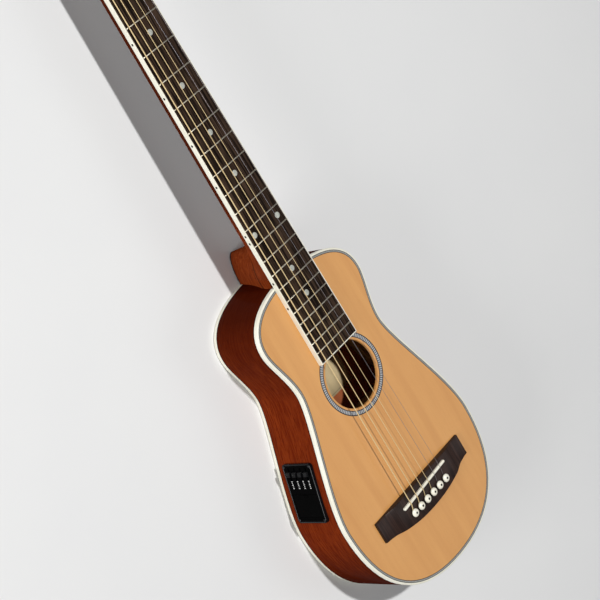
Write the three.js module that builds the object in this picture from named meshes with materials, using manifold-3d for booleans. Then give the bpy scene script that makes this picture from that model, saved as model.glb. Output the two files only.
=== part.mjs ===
// Travel guitar: a small steel-string acoustic guitar lying on its back, face up.
// Millimetres, +Z up. Inside the guitar group x runs from the nut (0) to the tail,
// +y is the treble side, and z = 0 is the outer face of the soundboard.

import * as THREE from 'three';
import { mergeVertices } from 'three/addons/utils/BufferGeometryUtils.js';
import Module from 'manifold-3d';

const wasm = await Module();
wasm.setup();

// Fits between pieces
const seatGap = 0.25;
const runningGap = 0.35;
const overrun = 3;
const cornerSteps = 4;

// Scale, strings and frets
const scaleLength = 595;
const fretCount = 21;
const fretWidth = 2.2;
const fretHeight = 0.9;
const fretSlotDepth = 1.6;
const stringDiameters = [0.3, 0.41, 0.61, 0.81, 1.07, 1.35];
const nutStringSpan = 35.5;
const bridgeStringSpan = 54;
const firstFretClearance = 0.4;
const octaveClearance = 1.8;
const stringTurns = 2;
const turnGap = 0.5;
const stringSides = 6;
const turnSteps = 12;

// Body outline, seen from the front
const bodyLength = 346.7;
const lowerBoutWidth = 208.2;
const waistWidth = 131.4;
const upperBoutWidth = 152.8;
const upperBoutShare = 0.1281;
const waistShare = 0.2838;
const lowerBoutShare = 0.6836;
const saddlePlaceShare = 0.7421;
const tailCurveShares = [0.625, 0.673];
const lowerCurveShares = [0.282, 0.185];
const upperCurveShares = [0.355, 0.275];
const shoulderCurveShares = [0.809, 0.449];
const outlineSteps = [7, 9, 6, 8];
const outlineHalvings = 40;

// Body walls
const depthAtNeck = 66.5;
const depthAtTail = 73.7;
const soundboardThickness = 3;
const backThickness = 2.6;
const sideThickness = 2.2;
const bindingWidth = 2;
const bindingHeight = 4.6;
const purflingWidth = 2.1;
const inlayDepth = 1.2;
const liningWidth = 5;
const liningHeight = 11;

// Sound hole and rosette
const holeRadius = 33.3;
const holePlaceShare = 0.3481;
const rosetteInnerRadius = 35.9;
const rosetteOuterRadius = 40.5;
const holeSegments = 36;

// Inner blocks and braces
const neckBlockLength = 42;
const neckBlockWidth = 74;
const extensionThickness = 9;
const extensionToHole = 5.4;
const tailBlockLength = 24;
const tailBlockWidth = 64;
const braceWidth = 7;
const braceHeight = 13;
const xBraceAngle = 54;
const xBracePlaceShare = 0.5192;
const toneBarCount = 2;
const toneBarToPins = 21.6;
const toneBarPitch = 25;
const toneBarAngle = 24;
const toneBarHeight = 9;
const backBraceWidth = 9;
const backBraceHeight = 12;
const backBraceShares = [0.202, 0.531, 0.756];
const backStripWidth = 15;
const backStripHeight = 2;

// Bridge
const bridgeLength = 141;
const bridgeFrontToSaddle = 8;
const bridgeMiddleWidth = 33.8;
const bridgeEndWidth = 22.8;
const bridgeHeight = 6.6;
const bridgeWingHeight = 3.2;
const bridgeWingLength = 25;
const bridgeBellyShares = [0.51, 0.68];
const bridgeBellyDropShare = 0.23;
const bridgeBellySteps = 10;
const saddleLength = 73;
const saddleThickness = 3;
const saddleSetback = 2.4;
const saddleSlant = 4.1;
const saddleSlotDepth = 4.8;
const pickupHeight = 1.4;
const bridgePlateLength = 128;
const bridgePlateWidth = 40;
const bridgePlateThickness = 2.6;
const pinSetback = 12.8;
const pinRadius = 2.6;
const pinTipRadius = 2.1;
const pinLength = 19;
const pinHeadRadius = 4.3;
const pinHeadHeight = 4;
const pinCollarHeight = 1.6;
const pinSegments = 10;
const stringTailDepth = 10;

// Fingerboard
const boardThickness = 5.2;
const boardPastLastFret = 12.4;
const boardWidthAtNut = 42.6;
const boardWidthAtEnd = 56.2;
const boardBinding = 1.6;

// Neck shaft, heel and headstock
const neckDepthAtNut = 15;
const neckDepthAtHeel = 17.5;
const neckSteps = 16;
const neckSides = 10;
const neckRoundnessShare = 0.86;
const volute = 27;
const voluteThinningShare = 0.3;
const nutThickness = 5;
const heelStackDepth = 17.9;
const heelToeReach = 31;
const heelToeLean = 4;
const heelFillet = 19;
const heelBackWidth = 21;
const heelTopWidth = 49;
const heelFlareShare = 1.5;
const heelCapThickness = 2;
const heelLevels = 9;
const headAngle = 14;
const headLength = 152;
const headThickness = 13;
const headFaceDrop = 1;
const headShoulderLength = 26;
const headShoulderWidth = 61;
const headEndWidth = 67;
const headCornerLength = 16;
const headTipWidth = 44;
const headTipArch = 5;
const headCurveSteps = 6;
const veneerThickness = 1.5;
const rodWidth = 6;
const rodHeight = 8;
const rodStart = 10;
const rodSocketRadius = 2.4;
const rodSocketDepth = 9;
const rodSocketSides = 6;

// Tuners, three on a plate
const tunerPlaces = [31, 71, 111];
const tunerRowSpan = 44;
const postRadius = 3;
const postTop = 13.5;
const postSegments = 10;
const stringHoleRadius = 1.1;
const firstTurnHeight = 2.3;
const sleeveWall = 1;
const sleeveRise = 0.8;
const tunerPlateWidth = 17;
const tunerPlateMargin = 13;
const tunerPlateThickness = 1.2;
const gearRadius = 6.5;
const gearToothDepth = 0.8;
const gearTeeth = 12;
const gearToothShares = [0, 0.3, 0.5, 0.8];
const gearThickness = 3;
const gearScrewRadius = 2.3;
const gearScrewHeight = 1.2;
const wormRadius = 2.6;
const wormShaftRadius = 1.6;
const earThickness = 1.3;
const earWidth = 7;
const earPitch = 15.5;
const earDrop = 6.6;
const buttonReach = 7;
const buttonLength = 15;
const buttonHeight = 17;
const buttonThickness = 7.6;
const buttonCollarLength = 4;
const buttonCollarRadius = 2.6;
const buttonSegments = 12;
const buttonRings = 7;

// Preamp in the bass side
const preampPlaceShare = 0.5486;
const preampLength = 60;
const preampHeight = 42;
const preampDrop = 35;
const preampProud = 2.4;
const preampCorner = 3;
const preampRim = 3;
const preampDepth = 24;
const preampWall = 1.6;
const faderCount = 4;
const faderPitch = 8.4;
const faderSlotLength = 13;
const faderSlotWidth = 1.8;
const faderPlace = 20;
const faderKnobLength = 5;
const faderKnobWidth = 5.2;
const faderKnobHeight = 2.6;
const faderStemDepth = 5;
const doorLength = 24;
const doorHeight = 34;
const doorThickness = 1.6;
const doorEdgePlace = 25;
const doorBarrelRadius = 1.1;
const doorPullLength = 7;
const batteryLength = 48.5;
const batteryHeight = 26.5;
const batteryThickness = 17.5;
const batteryCorner = 2;
const batteryClearance = 0.6;

// End pin jack in the tail
const jackDrop = 37;
const jackBoreRadius = 3.4;
const jackBarrelRadius = 5.8;
const jackFlangeRadius = 8.6;
const jackFlangeThickness = 2.2;
const jackWaistRadius = 5.4;
const jackWaistLength = 5.5;
const jackRimRadius = 7.2;
const jackRimThickness = 3;
const jackNutRadius = 8;
const jackNutThickness = 3;
const jackSegments = 16;

// Places worked out from the sizes above
const degree = Math.PI / 180;
const saddleX = scaleLength + saddleSetback;
const neckEndX = saddleX - saddlePlaceShare * bodyLength;
const tailX = neckEndX + bodyLength;
const taper = (depthAtTail - depthAtNeck) / bodyLength;
const taperAngle = Math.atan(taper);
const boardTop = boardThickness;
const boardLength = fretPlace(fretCount) + boardPastLastFret;
const stringCount = stringDiameters.length;
const nutStringLevel = boardTop + fretHeight + firstFretClearance;
const octaveLevel = boardTop + fretHeight + octaveClearance;
const saddleTop = nutStringLevel + 2 * (octaveLevel - nutStringLevel) - seatGap;
const bridgeFrontX = saddleX - bridgeFrontToSaddle;
const pinX = saddleX + pinSetback;
const holeX = alongBody(holePlaceShare);
const headTilt = headAngle * degree;
const faceLevel = headFaceDrop;
const veneerTop = seatGap + veneerThickness;
const plateTop = -headThickness - seatGap;
const wormLevel = plateTop - tunerPlateThickness - wormRadius - runningGap;
const gearTop = wormLevel + gearThickness / 2;
const wormOffset = gearRadius + wormRadius + runningGap;
const sleeveRadius = postRadius + runningGap + sleeveWall;

function alongBody(share) {
  return neckEndX + share * bodyLength;
}

function fretPlace(number) {
  return scaleLength * (1 - 2 ** (-number / 12));
}

function depthAt(x) {
  return depthAtNeck + (x - neckEndX) * taper;
}

function backPlane(x) {
  return -depthAt(x);
}

function level(value) {
  return () => value;
}

// Solids: joins and cuts

function solidOf(geometry) {
  const bare = geometry.clone();
  bare.deleteAttribute('normal');
  bare.deleteAttribute('uv');
  const merged = mergeVertices(bare);
  const corners = merged.index.array;
  const kept = [];
  for (let i = 0; i < corners.length; i += 3) {
    const [a, b, c] = [corners[i], corners[i + 1], corners[i + 2]];
    if (a !== b && b !== c && c !== a) kept.push(a, b, c);
  }
  const vertProperties = new Float32Array(merged.attributes.position.array);
  const triVerts = new Uint32Array(kept);
  return new wasm.Manifold(new wasm.Mesh({ numProp: 3, vertProperties, triVerts }));
}

function geometryOf(solid) {
  const mesh = solid.getMesh();
  const geometry = new THREE.BufferGeometry();
  geometry.setAttribute('position', new THREE.BufferAttribute(mesh.vertProperties, 3));
  geometry.setIndex(new THREE.BufferAttribute(mesh.triVerts, 1));
  geometry.computeVertexNormals();
  return geometry;
}

function union(solids) {
  return solids.reduce((whole, solid) => whole.add(solid));
}

function cutAway(solid, cutters) {
  return cutters.reduce((rest, cutter) => rest.subtract(cutter), solid);
}

function block(lengthX, lengthY, lengthZ, x, y, z) {
  const geometry = new THREE.BoxGeometry(lengthX, lengthY, lengthZ);
  geometry.translate(x, y, z);
  return geometry;
}

function spanBlock(low, high) {
  const size = high.map((value, axis) => value - low[axis]);
  const middle = high.map((value, axis) => (value + low[axis]) / 2);
  return block(...size, ...middle);
}

function upright(radius, bottom, top, x, y, segments) {
  const geometry = new THREE.CylinderGeometry(radius, radius, top - bottom, segments);
  geometry.rotateX(Math.PI / 2);
  geometry.translate(x, y, (top + bottom) / 2);
  return geometry;
}

// A flat outline given a top and a bottom that may each slope with x
function plateBetween(points, topAt, bottomAt, holes = []) {
  const shape = new THREE.Shape(points);
  for (const hole of holes) shape.holes.push(new THREE.Path(hole));
  const geometry = new THREE.ExtrudeGeometry(shape, { depth: 1, bevelEnabled: false });
  const position = geometry.attributes.position;
  for (let i = 0; i < position.count; i += 1) {
    const x = position.getX(i);
    position.setZ(i, position.getZ(i) > 0 ? topAt(x) : bottomAt(x));
  }
  return geometry;
}

function circlePoints(radius, x, y, segments) {
  const points = [];
  for (let i = 0; i < segments; i += 1) {
    const turn = (i / segments) * 2 * Math.PI;
    points.push(new THREE.Vector2(x + radius * Math.cos(turn), y + radius * Math.sin(turn)));
  }
  return points;
}

function rectanglePoints(x0, x1, y0, y1) {
  return [
    new THREE.Vector2(x0, y0),
    new THREE.Vector2(x1, y0),
    new THREE.Vector2(x1, y1),
    new THREE.Vector2(x0, y1),
  ];
}

function roundedShape(lengthX, lengthY, corner) {
  const shape = new THREE.Shape();
  const [a, b] = [lengthX / 2, lengthY / 2];
  shape.moveTo(corner - a, -b);
  shape.lineTo(a - corner, -b);
  shape.absarc(a - corner, corner - b, corner, -Math.PI / 2, 0);
  shape.lineTo(a, b - corner);
  shape.absarc(a - corner, b - corner, corner, 0, Math.PI / 2);
  shape.lineTo(corner - a, b);
  shape.absarc(corner - a, b - corner, corner, Math.PI / 2, Math.PI);
  shape.lineTo(-a, corner - b);
  shape.absarc(corner - a, corner - b, corner, Math.PI, 1.5 * Math.PI);
  return shape;
}

// Materials
function finish(color, roughness, metalness = 0) {
  return new THREE.MeshStandardMaterial({ color, roughness, metalness });
}

const spruce = finish(0xd6a064, 0.35);
const mahogany = finish(0x6e2a16, 0.3);
const neckMahogany = finish(0x96492a, 0.4);
const rosewood = finish(0x2a1a14, 0.55);
const innerWood = finish(0xc9a77a, 0.7);
const cream = finish(0xefe6c8, 0.35);
const ivoryPlastic = finish(0xf2ecd8, 0.3);
const purflingGrey = finish(0x8d9298, 0.5);
const blackPlastic = finish(0x111111, 0.4);
const blackGloss = finish(0x15100d, 0.2);
const chrome = finish(0xc8c8c8, 0.2, 1);
const steel = finish(0x8f9296, 0.35, 1);
const bronze = finish(0xb98f4e, 0.4, 1);
const pickupMetal = finish(0xa08a5a, 0.4, 1);
const batteryBlue = finish(0x39434d, 0.45);

const guitar = new THREE.Group();
const headstock = new THREE.Group();
const preampGroup = new THREE.Group();

function addPiece(group, name, shape, material) {
  const geometry = shape.isBufferGeometry ? shape : geometryOf(shape);
  const mesh = new THREE.Mesh(geometry, material);
  mesh.name = name;
  group.add(mesh);
  return mesh;
}

// Body outline

function outlineCurves() {
  const [tail, low, waist, up, neck] = [
    tailX,
    alongBody(lowerBoutShare),
    alongBody(waistShare),
    alongBody(upperBoutShare),
    neckEndX,
  ];
  const [wl, ww, wu] = [lowerBoutWidth / 2, waistWidth / 2, upperBoutWidth / 2];
  const [a1, a2] = tailCurveShares;
  const [b1, b2] = lowerCurveShares;
  const [c1, c2] = upperCurveShares;
  const [d1, d2] = shoulderCurveShares;
  const corners = [
    [[tail, 0], [tail, a1 * wl], [low + a2 * (tail - low), wl], [low, wl]],
    [[low, wl], [low - b1 * (low - waist), wl], [waist + b2 * (low - waist), ww], [waist, ww]],
    [[waist, ww], [waist - c1 * (waist - up), ww], [up + c2 * (waist - up), wu], [up, wu]],
    [[up, wu], [up - d1 * (up - neck), wu], [neck, d2 * wu], [neck, 0]],
  ];
  return corners.map((four) => {
    return new THREE.CubicBezierCurve(...four.map(([x, y]) => new THREE.Vector2(x, y)));
  });
}

// Half of the outline on the treble side, from tail to neck end, moved inwards by inset
function halfOutline(inset) {
  const points = [];
  outlineCurves().forEach((curve, part) => {
    const steps = outlineSteps[part];
    const first = part === 0 ? 0 : 1;
    for (let i = first; i <= steps; i += 1) {
      const point = curve.getPoint(i / steps);
      const along = curve.getTangent(i / steps);
      points.push(new THREE.Vector2(point.x - inset * along.y, point.y + inset * along.x));
    }
  });
  return points;
}

function mirrored(points) {
  return points.map((point) => new THREE.Vector2(point.x, -point.y)).reverse();
}

function fullOutline(inset) {
  const half = halfOutline(inset);
  half[0].y = 0;
  half[half.length - 1].y = 0;
  return half.concat(mirrored(half).slice(1, -1));
}

function outlineRing(outerInset, innerInset, topAt, bottomAt) {
  return plateBetween(fullOutline(outerInset), topAt, bottomAt, [fullOutline(innerInset)]);
}

// A prism of the outline that reaches past both faces of the body
function outlinePrism(inset) {
  return solidOf(plateBetween(fullOutline(inset), level(overrun), (x) => backPlane(x) - overrun));
}

// Strings

function boardHalfWidth(x) {
  const share = x / boardLength;
  return (boardWidthAtNut + (boardWidthAtEnd - boardWidthAtNut) * share) / 2;
}

function acrossAt(index, span) {
  return span / 2 - (index * span) / (stringCount - 1);
}

function headPoint(along, across, up) {
  const place = new THREE.Vector3(-along, across, up);
  place.applyAxisAngle(new THREE.Vector3(0, 1, 0), -headTilt);
  return place.add(new THREE.Vector3(-nutThickness, 0, faceLevel));
}

function saddleXAt(across) {
  return saddleX - (saddleSlant * across) / saddleLength;
}

// Tuner of each string: the outer strings go to the posts nearest the nut
function tunerOf(index) {
  const treble = index < stringCount / 2;
  const row = treble ? index : stringCount - 1 - index;
  return { treble, along: tunerPlaces[row], across: (treble ? 1 : -1) * (tunerRowSpan / 2) };
}

function stringRun(index) {
  const radius = stringDiameters[index] / 2;
  const nutY = acrossAt(index, nutStringSpan);
  const saddleY = acrossAt(index, bridgeStringSpan);
  const holeEdge = pinX - pinRadius - seatGap - radius;
  const crownX = saddleXAt(saddleY) + saddleThickness / 2;
  const overBridge = bridgeHeight + radius + seatGap;
  const tuner = tunerOf(index);
  const inward = tuner.treble ? -1 : 1;
  const turnRadius = postRadius + runningGap + radius;
  const turnLevel = veneerTop + sleeveRise + firstTurnHeight + radius;
  return [
    new THREE.Vector3(holeEdge, saddleY, -stringTailDepth),
    new THREE.Vector3(holeEdge, saddleY, bridgeHeight - radius),
    new THREE.Vector3(holeEdge - radius, saddleY, overBridge),
    new THREE.Vector3(crownX, saddleY, saddleTop + seatGap + radius),
    new THREE.Vector3(-nutThickness / 4, nutY, nutStringLevel + radius),
    headPoint(tuner.along, tuner.across + inward * turnRadius, turnLevel),
  ];
}

function stringTurnPoints(index) {
  const radius = stringDiameters[index] / 2;
  const tuner = tunerOf(index);
  const turnRadius = postRadius + runningGap + radius;
  const turnLevel = veneerTop + sleeveRise + firstTurnHeight + radius;
  const rise = 2 * radius + turnGap;
  const way = tuner.treble ? -1 : 1;
  const points = [];
  for (let i = 1; i <= stringTurns * turnSteps; i += 1) {
    const turn = i / turnSteps;
    const angle = way * (Math.PI / 2 + turn * 2 * Math.PI);
    const along = tuner.along - turnRadius * Math.cos(angle);
    const across = tuner.across + turnRadius * Math.sin(angle);
    points.push(headPoint(along, across, turnLevel + turn * rise));
  }
  return points;
}

// A closed tube whose rings stand square to the route at each of its points
function tubeAlong(points, radius, sides) {
  const positions = [];
  const triangles = [];
  const ahead = points.map((point, i) => {
    const before = points[Math.max(i - 1, 0)];
    const after = points[Math.min(i + 1, points.length - 1)];
    const arriving = new THREE.Vector3().subVectors(point, before).normalize();
    const leaving = new THREE.Vector3().subVectors(after, point).normalize();
    return arriving.add(leaving).normalize();
  });
  const side = new THREE.Vector3(0, 1, 0);
  points.forEach((point, i) => {
    side.addScaledVector(ahead[i], -side.dot(ahead[i])).normalize();
    const other = new THREE.Vector3().crossVectors(ahead[i], side);
    for (let j = 0; j < sides; j += 1) {
      const turn = (j / sides) * 2 * Math.PI;
      const corner = point.clone();
      corner.addScaledVector(side, radius * Math.cos(turn));
      corner.addScaledVector(other, radius * Math.sin(turn));
      positions.push(corner.x, corner.y, corner.z);
    }
  });
  for (let i = 0; i + 1 < points.length; i += 1) {
    for (let j = 0; j < sides; j += 1) {
      const next = (j + 1) % sides;
      const [a, b] = [i * sides + j, i * sides + next];
      const [c, d] = [a + sides, b + sides];
      triangles.push(a, b, d, a, d, c);
    }
  }
  const last = (points.length - 1) * sides;
  for (let j = 1; j + 1 < sides; j += 1) {
    triangles.push(0, j + 1, j);
    triangles.push(last, last + j, last + j + 1);
  }
  const geometry = new THREE.BufferGeometry();
  geometry.setAttribute('position', new THREE.Float32BufferAttribute(positions, 3));
  geometry.setIndex(triangles);
  geometry.computeVertexNormals();
  return geometry;
}

function leastTurnGap(points, diameter) {
  let least = Infinity;
  for (let i = 0; i < points.length; i += 1) {
    for (let j = i + turnSteps / 2; j < points.length; j += 1) {
      least = Math.min(least, points[i].distanceTo(points[j]) - diameter);
    }
  }
  return least;
}

let narrowestTurnGap = Infinity;
const stringChannels = [];
for (let index = 0; index < stringCount; index += 1) {
  const radius = stringDiameters[index] / 2;
  const run = stringRun(index);
  const turns = stringTurnPoints(index);
  narrowestTurnGap = Math.min(narrowestTurnGap, leastTurnGap(turns, 2 * radius));
  const wire = tubeAlong(run.concat(turns), radius, stringSides);
  addPiece(guitar, `string_${index + 1}`, wire, index < 2 ? steel : bronze);
  const lead = run[0].clone();
  lead.z -= overrun;
  stringChannels.push(solidOf(tubeAlong([lead, ...run], radius + seatGap, stringSides)));
}
console.log('least gap between string turns', narrowestTurnGap.toFixed(2), 'mm');

// Soundboard, inlays and bindings

function rodSlot(from, to) {
  const half = rodWidth / 2 + seatGap;
  return solidOf(spanBlock([from, -half, -rodHeight - 2 * seatGap], [to, half, overrun]));
}

function pinBores() {
  const bores = [];
  for (let index = 0; index < stringCount; index += 1) {
    const y = acrossAt(index, bridgeStringSpan);
    const radius = pinRadius + seatGap;
    bores.push(solidOf(upright(radius, -pinLength, bridgeHeight + overrun, pinX, y, pinSegments)));
  }
  return bores;
}

const rodPassage = [rodSlot(neckEndX - overrun, holeX)];
const purflingInset = bindingWidth + seatGap;
const topHole = circlePoints(holeRadius, holeX, 0, holeSegments);
const topPlate = solidOf(
  plateBetween(fullOutline(purflingInset), level(0), level(-soundboardThickness), [topHole]),
);
const purflingBed = solidOf(
  outlineRing(
    purflingInset - overrun,
    purflingInset + purflingWidth + seatGap,
    level(overrun),
    level(-inlayDepth - seatGap),
  ),
);
const rosetteBed = solidOf(
  plateBetween(
    circlePoints(rosetteOuterRadius + seatGap, holeX, 0, holeSegments),
    level(overrun),
    level(-inlayDepth - seatGap),
    [circlePoints(rosetteInnerRadius - seatGap, holeX, 0, holeSegments)],
  ),
);
const topCuts = [
  purflingBed,
  rosetteBed,
  ...rodPassage,
  ...pinBores(),
  ...stringChannels,
];
addPiece(guitar, 'soundboard', cutAway(topPlate, topCuts), spruce);

const purfling = outlineRing(
  purflingInset,
  purflingInset + purflingWidth,
  level(0),
  level(-inlayDepth),
);
addPiece(guitar, 'top_purfling', cutAway(solidOf(purfling), rodPassage), purflingGrey);

const rosette = plateBetween(
  circlePoints(rosetteOuterRadius, holeX, 0, holeSegments),
  level(0),
  level(-inlayDepth),
  [circlePoints(rosetteInnerRadius, holeX, 0, holeSegments)],
);
addPiece(guitar, 'rosette', cutAway(solidOf(rosette), rodPassage), purflingGrey);

const topBinding = outlineRing(0, bindingWidth, level(0), level(-bindingHeight));
addPiece(guitar, 'top_binding', cutAway(solidOf(topBinding), rodPassage), cream);

const backBinding = outlineRing(
  0,
  bindingWidth,
  (x) => backPlane(x) + bindingHeight,
  backPlane,
);
addPiece(guitar, 'back_binding', backBinding, cream);

const backPlate = plateBetween(
  fullOutline(purflingInset),
  (x) => backPlane(x) + backThickness,
  backPlane,
);
addPiece(guitar, 'back', backPlate, mahogany);

// Preamp frame: origin on the outline, local x towards the tail, local y into the body

const preampCurve = outlineCurves()[1];
function preampShare() {
  let [low, high] = [0, 1];
  for (let i = 0; i < outlineHalvings; i += 1) {
    const middle = (low + high) / 2;
    if (preampCurve.getPoint(middle).x > alongBody(preampPlaceShare)) low = middle;
    else high = middle;
  }
  return low;
}
const preampPoint = preampCurve.getPoint(preampShare());
const preampAlong = preampCurve.getTangent(preampShare());
const preampTurn = Math.atan2(preampAlong.y, -preampAlong.x);
preampGroup.position.set(preampPoint.x, -preampPoint.y, -preampDrop);
preampGroup.rotation.z = preampTurn;
preampGroup.updateMatrix();
const preampMatrix = preampGroup.matrix;

function roundedBlock(lengthX, lengthZ, corner, y0, y1) {
  const shape = roundedShape(lengthX, lengthZ, corner);
  const options = { depth: y1 - y0, bevelEnabled: false, curveSegments: cornerSteps };
  const geometry = new THREE.ExtrudeGeometry(shape, options);
  geometry.rotateX(Math.PI / 2);
  geometry.translate(0, y1, 0);
  return geometry;
}

const housingLength = preampLength - 2 * preampRim;
const housingHeight = preampHeight - 2 * preampRim;
const windowCorner = preampCorner - seatGap;
const sideWindow = roundedBlock(
  housingLength + 2 * seatGap,
  housingHeight + 2 * seatGap,
  windowCorner,
  -overrun,
  preampDepth,
);
sideWindow.applyMatrix4(preampMatrix);

// Sides

function sideWall(sign) {
  const outer = halfOutline(0);
  const inner = halfOutline(sideThickness);
  for (const path of [outer, inner]) {
    path[0].y = seatGap / 2;
    path[path.length - 1].y = seatGap / 2;
  }
  const loop = outer.concat(inner.reverse());
  const placed = sign > 0 ? loop : mirrored(loop);
  const top = -bindingHeight - seatGap;
  return solidOf(plateBetween(placed, level(top), (x) => backPlane(x) + bindingHeight + seatGap));
}

function jackBarrel(radius) {
  const geometry = new THREE.CylinderGeometry(radius, radius, 2 * tailBlockLength, jackSegments);
  geometry.rotateZ(Math.PI / 2);
  geometry.translate(tailX - tailBlockLength / 2, 0, -jackDrop);
  return solidOf(geometry);
}

const jackHole = jackBarrel(jackBarrelRadius + seatGap);
const bassSide = cutAway(sideWall(-1), [solidOf(sideWindow), jackHole, ...rodPassage]);
addPiece(guitar, 'side_bass', bassSide, mahogany);
addPiece(guitar, 'side_treble', cutAway(sideWall(1), [jackHole, ...rodPassage]), mahogany);

// Linings
const liningInset = sideThickness + seatGap;
const innerInset = liningInset + liningWidth + seatGap;
const liningTop = -soundboardThickness - seatGap;
const liningFloor = backThickness + seatGap;
const topLining = outlineRing(
  liningInset,
  liningInset + liningWidth,
  level(liningTop),
  level(liningTop - liningHeight),
);
addPiece(guitar, 'top_lining', cutAway(solidOf(topLining), rodPassage), innerWood);
const backLining = outlineRing(
  liningInset,
  liningInset + liningWidth,
  (x) => backPlane(x) + liningFloor + liningHeight,
  (x) => backPlane(x) + liningFloor,
);
addPiece(guitar, 'back_lining', backLining, innerWood);

// Neck block and tail block, let in behind the linings

const innerPrism = solidOf(
  plateBetween(fullOutline(innerInset), level(liningTop), (x) => backPlane(x) + liningFloor),
);
const wallPrism = solidOf(
  plateBetween(
    fullOutline(liningInset),
    level(liningTop - liningHeight - seatGap),
    (x) => backPlane(x) + liningFloor + liningHeight + seatGap,
  ),
);
const fullDepth = depthAtTail + overrun;

function cornerBlock(x0, x1, width) {
  const space = solidOf(spanBlock([x0, -width / 2, -fullDepth], [x1, width / 2, overrun]));
  return innerPrism.add(wallPrism).intersect(space);
}

const extensionEnd = holeX - holeRadius - extensionToHole;
const extension = solidOf(
  spanBlock(
    [neckEndX + neckBlockLength - overrun, -neckBlockWidth / 2, liningTop - extensionThickness],
    [extensionEnd, neckBlockWidth / 2, liningTop],
  ),
);
const neckBlock = cornerBlock(neckEndX, neckEndX + neckBlockLength, neckBlockWidth);
const neckBlockWithExtension = cutAway(neckBlock.add(extension), rodPassage);
addPiece(guitar, 'neck_block', neckBlockWithExtension, innerWood);

const tailBlock = cornerBlock(tailX - tailBlockLength, tailX, tailBlockWidth);
addPiece(guitar, 'tail_block', cutAway(tailBlock, [jackHole]), innerWood);

// Bridge plate and soundboard braces

const bridgePlateX = pinX - pinSetback / 4;
const bridgePlate = solidOf(
  block(
    bridgePlateWidth,
    bridgePlateLength,
    bridgePlateThickness,
    bridgePlateX,
    0,
    liningTop - bridgePlateThickness / 2,
  ),
);
addPiece(guitar, 'bridge_plate', cutAway(bridgePlate, [...pinBores(), ...stringChannels]), innerWood);

function bar(length, width, height, angle, x, y) {
  const geometry = new THREE.BoxGeometry(length, width, height);
  geometry.rotateZ(angle * degree);
  geometry.translate(x, y, liningTop - height / 2);
  return solidOf(geometry);
}

const xBraceX = alongBody(xBracePlaceShare);
const crossing = [xBraceAngle, -xBraceAngle].map((angle) => {
  return bar(bodyLength, braceWidth, braceHeight, angle, xBraceX, 0);
});
const toneBars = [];
for (let index = 0; index < toneBarCount; index += 1) {
  const x = pinX - toneBarToPins - index * toneBarPitch;
  toneBars.push(bar(bodyLength, braceWidth, toneBarHeight, 90 - toneBarAngle, x, 0));
}
const plateClearance = solidOf(
  block(
    bridgePlateWidth + 2 * seatGap,
    bridgePlateLength + 2 * seatGap,
    2 * (bridgePlateThickness + seatGap),
    bridgePlateX,
    0,
    liningTop,
  ),
);
const tailBlockSpace = solidOf(
  spanBlock(
    [tailX - tailBlockLength - seatGap, -tailBlockWidth / 2 - seatGap, -fullDepth],
    [tailX, tailBlockWidth / 2 + seatGap, overrun],
  ),
);
const bracing = union([...crossing, ...toneBars]).intersect(innerPrism);
const bracingCuts = [plateClearance, tailBlockSpace, ...pinBores(), ...stringChannels];
addPiece(guitar, 'x_brace', cutAway(bracing, bracingCuts), innerWood);

// Back braces joined by the strip over the centre seam

const backStrip = plateBetween(
  rectanglePoints(
    neckEndX + neckBlockLength + seatGap,
    tailX - tailBlockLength - seatGap,
    -backStripWidth / 2,
    backStripWidth / 2,
  ),
  (x) => backPlane(x) + backThickness + seatGap + backStripHeight,
  (x) => backPlane(x) + backThickness + seatGap,
);
const backBars = backBraceShares.map((share) => {
  const x = alongBody(share);
  const [x0, x1] = [x - backBraceWidth / 2, x + backBraceWidth / 2];
  return solidOf(
    plateBetween(
      rectanglePoints(x0, x1, -lowerBoutWidth / 2, lowerBoutWidth / 2),
      (x) => backPlane(x) + backThickness + seatGap + backBraceHeight,
      (x) => backPlane(x) + backThickness + seatGap,
    ),
  );
});
const innerFloorPrism = outlinePrism(innerInset);
const backBracing = union([solidOf(backStrip), ...backBars]).intersect(innerFloorPrism);
addPiece(guitar, 'back_bracing', backBracing, innerWood);

// Bridge

function bridgePlan() {
  const halfLength = bridgeLength / 2;
  const endBack = bridgeFrontX + bridgeEndWidth;
  const middleBack = bridgeFrontX + bridgeMiddleWidth;
  const [nearShare, farShare] = bridgeBellyShares;
  const belly = new THREE.CubicBezierCurve(
    new THREE.Vector2(middleBack, 0),
    new THREE.Vector2(middleBack, nearShare * halfLength),
    new THREE.Vector2(
      endBack + bridgeBellyDropShare * (middleBack - endBack),
      farShare * halfLength,
    ),
    new THREE.Vector2(endBack, halfLength),
  );
  const half = belly.getPoints(bridgeBellySteps).concat(new THREE.Vector2(bridgeFrontX, halfLength));
  return half.concat(mirrored(half).slice(0, -1));
}

function bridgeProfile() {
  const [end, wing] = [bridgeLength / 2 + overrun, bridgeLength / 2 - bridgeWingLength];
  const shape = new THREE.Shape();
  shape.moveTo(-end, seatGap);
  shape.lineTo(end, seatGap);
  shape.lineTo(end, bridgeWingHeight);
  shape.quadraticCurveTo((end + wing) / 2, bridgeWingHeight, wing, bridgeHeight);
  shape.lineTo(-wing, bridgeHeight);
  shape.quadraticCurveTo(-(end + wing) / 2, bridgeWingHeight, -end, bridgeWingHeight);
  const options = {
    depth: 2 * bridgeMiddleWidth,
    bevelEnabled: false,
    curveSegments: cornerSteps,
  };
  const geometry = new THREE.ExtrudeGeometry(shape, options);
  geometry.rotateX(Math.PI / 2);
  geometry.rotateZ(Math.PI / 2);
  geometry.translate(bridgeFrontX - bridgeMiddleWidth / 2, 0, 0);
  return solidOf(geometry);
}

function saddleBar(length, thickness, bottom, top) {
  const geometry = new THREE.ExtrudeGeometry(roundedShape(thickness, length, thickness / 3), {
    depth: top - bottom,
    bevelEnabled: false,
    curveSegments: cornerSteps / 2,
  });
  geometry.rotateZ(Math.atan(saddleSlant / saddleLength));
  geometry.translate(saddleX, 0, bottom);
  return geometry;
}

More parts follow.
